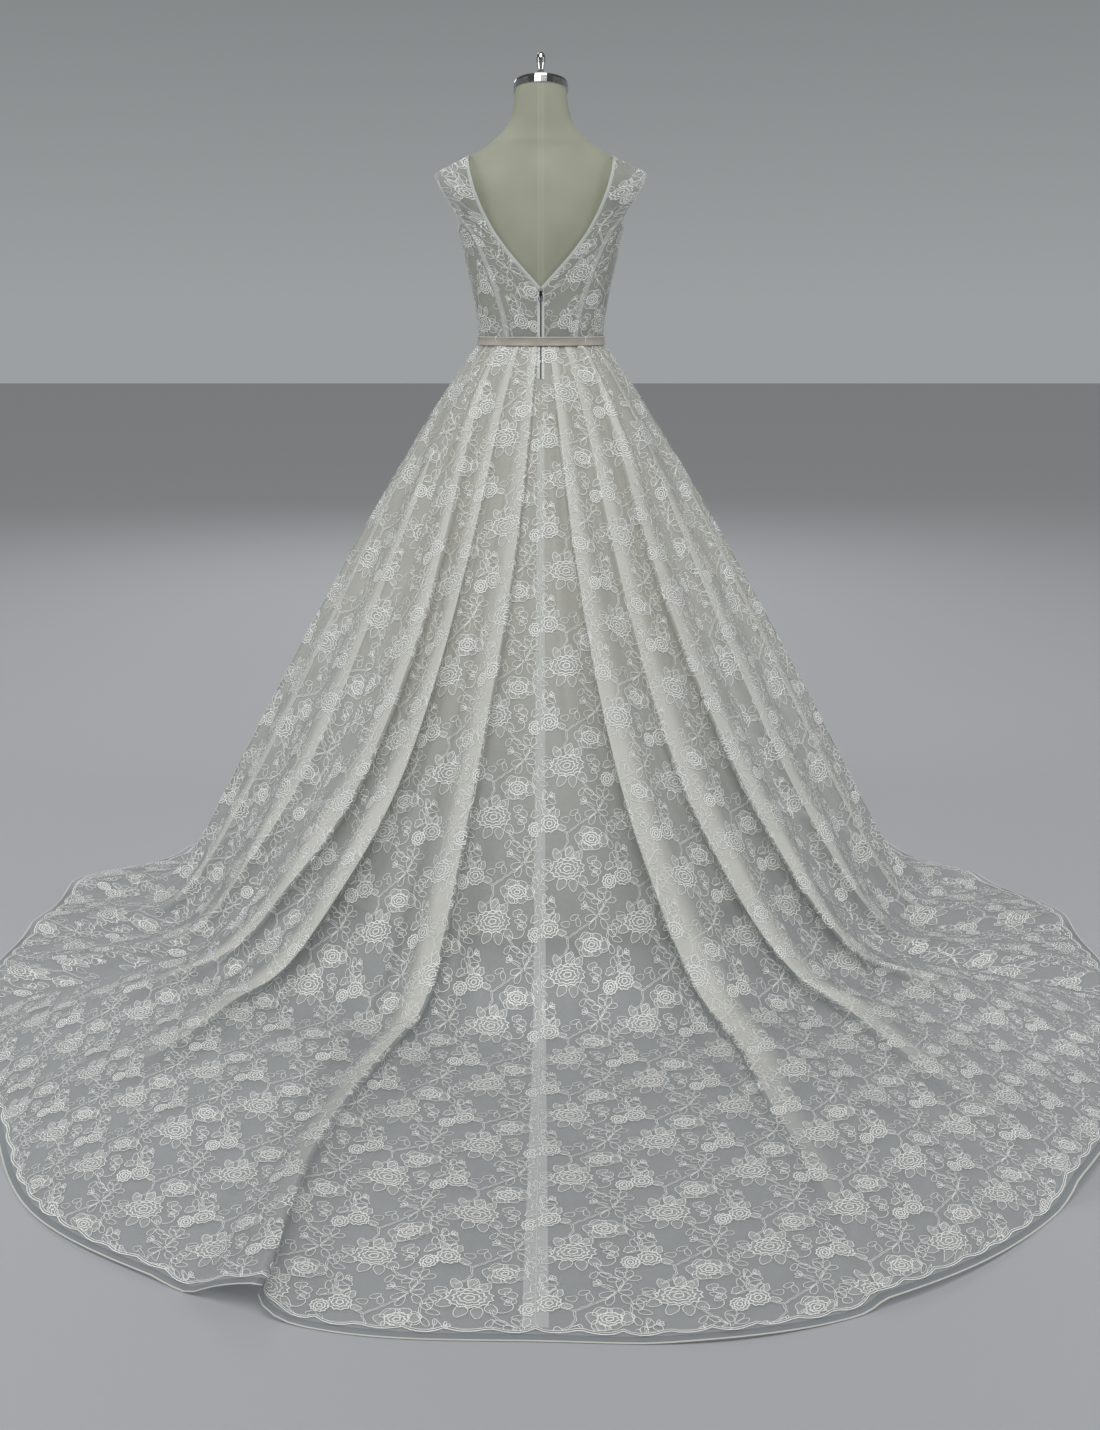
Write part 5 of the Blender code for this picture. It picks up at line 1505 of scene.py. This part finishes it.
def make_stage():
    """A plain pale floor, soft lights and the camera."""
    bpy.ops.object.select_all(action="DESELECT")
    bpy.ops.mesh.primitive_plane_add(size=40.0, location=(0.0, 0.0, -0.0005))
    floor = bpy.context.object
    floor.name = "floor"
    floor.data.materials.append(finish("matt_floor", "#B4B6B8", 0.9)[0])
    world = bpy.data.worlds.new("studio")
    bpy.context.scene.world = world
    world.use_nodes = True
    back = world.node_tree.nodes["Background"]
    back.inputs["Color"].default_value = colour("#DDE2E4")
    way = add(world.node_tree, "ShaderNodeTexCoord").outputs["Generated"]
    parts = add(world.node_tree, "ShaderNodeSeparateXYZ", [("Vector", way)])
    paler = add(world.node_tree, "ShaderNodeMapRange", [("Value", parts.outputs["Z"])],
                From_Min=0.0, From_Max=0.45, To_Min=0.46, To_Max=0.10)
    world.node_tree.links.new(paler.outputs["Result"], back.inputs["Strength"])
    for name, place, aim, size, power in (
        ("light_left", (4.2, 1.4, 2.2), (0.0, 0.3, 0.5), 2.0, 44),
        ("light_right", (-4.2, 1.4, 2.2), (0.0, 0.3, 0.5), 2.0, 36),
        ("light_above", (0.2, 3.2, 5.0), (0.0, 0.5, 0.3), 2.4, 60),
        ("light_front", (0.4, -4.2, 3.4), (0.0, 0.0, 0.7), 2.4, 60),
    ):
        lamp = bpy.data.lights.new(name, "AREA")
        lamp.size = size
        lamp.energy = power
        lamp.color = colour("#FBFCFF")[:3]
        made = bpy.data.objects.new(name, lamp)
        made.location = place
        made.rotation_euler = (Vector(aim) - Vector(place)).to_track_quat("-Z", "Y").to_euler()
        bpy.context.scene.collection.objects.link(made)
    ceiling = bpy.data.lights.new("light_ceiling", "SUN")
    ceiling.angle = math.radians(50)
    ceiling.energy = 1.15
    made = bpy.data.objects.new("light_ceiling", ceiling)
    made.rotation_euler = (Vector((0.0, 0.4, 0.2)) - Vector((0.2, 3.2, 5.0))).to_track_quat("-Z", "Y").to_euler()
    bpy.context.scene.collection.objects.link(made)
    lens = bpy.data.cameras.new("camera")
    lens.lens = 40.28
    lens.sensor_width = 36.0
    lens.clip_end = 60.0
    camera = bpy.data.objects.new("camera", lens)
    camera.location = (-0.017, 3.15, 1.156)
    camera.rotation_euler = (math.radians(90 - 14.57), 0.0, math.radians(180))
    bpy.context.scene.collection.objects.link(camera)
    bpy.context.scene.camera = camera
    bpy.context.scene.view_settings.view_transform = "Standard"


make_stage()
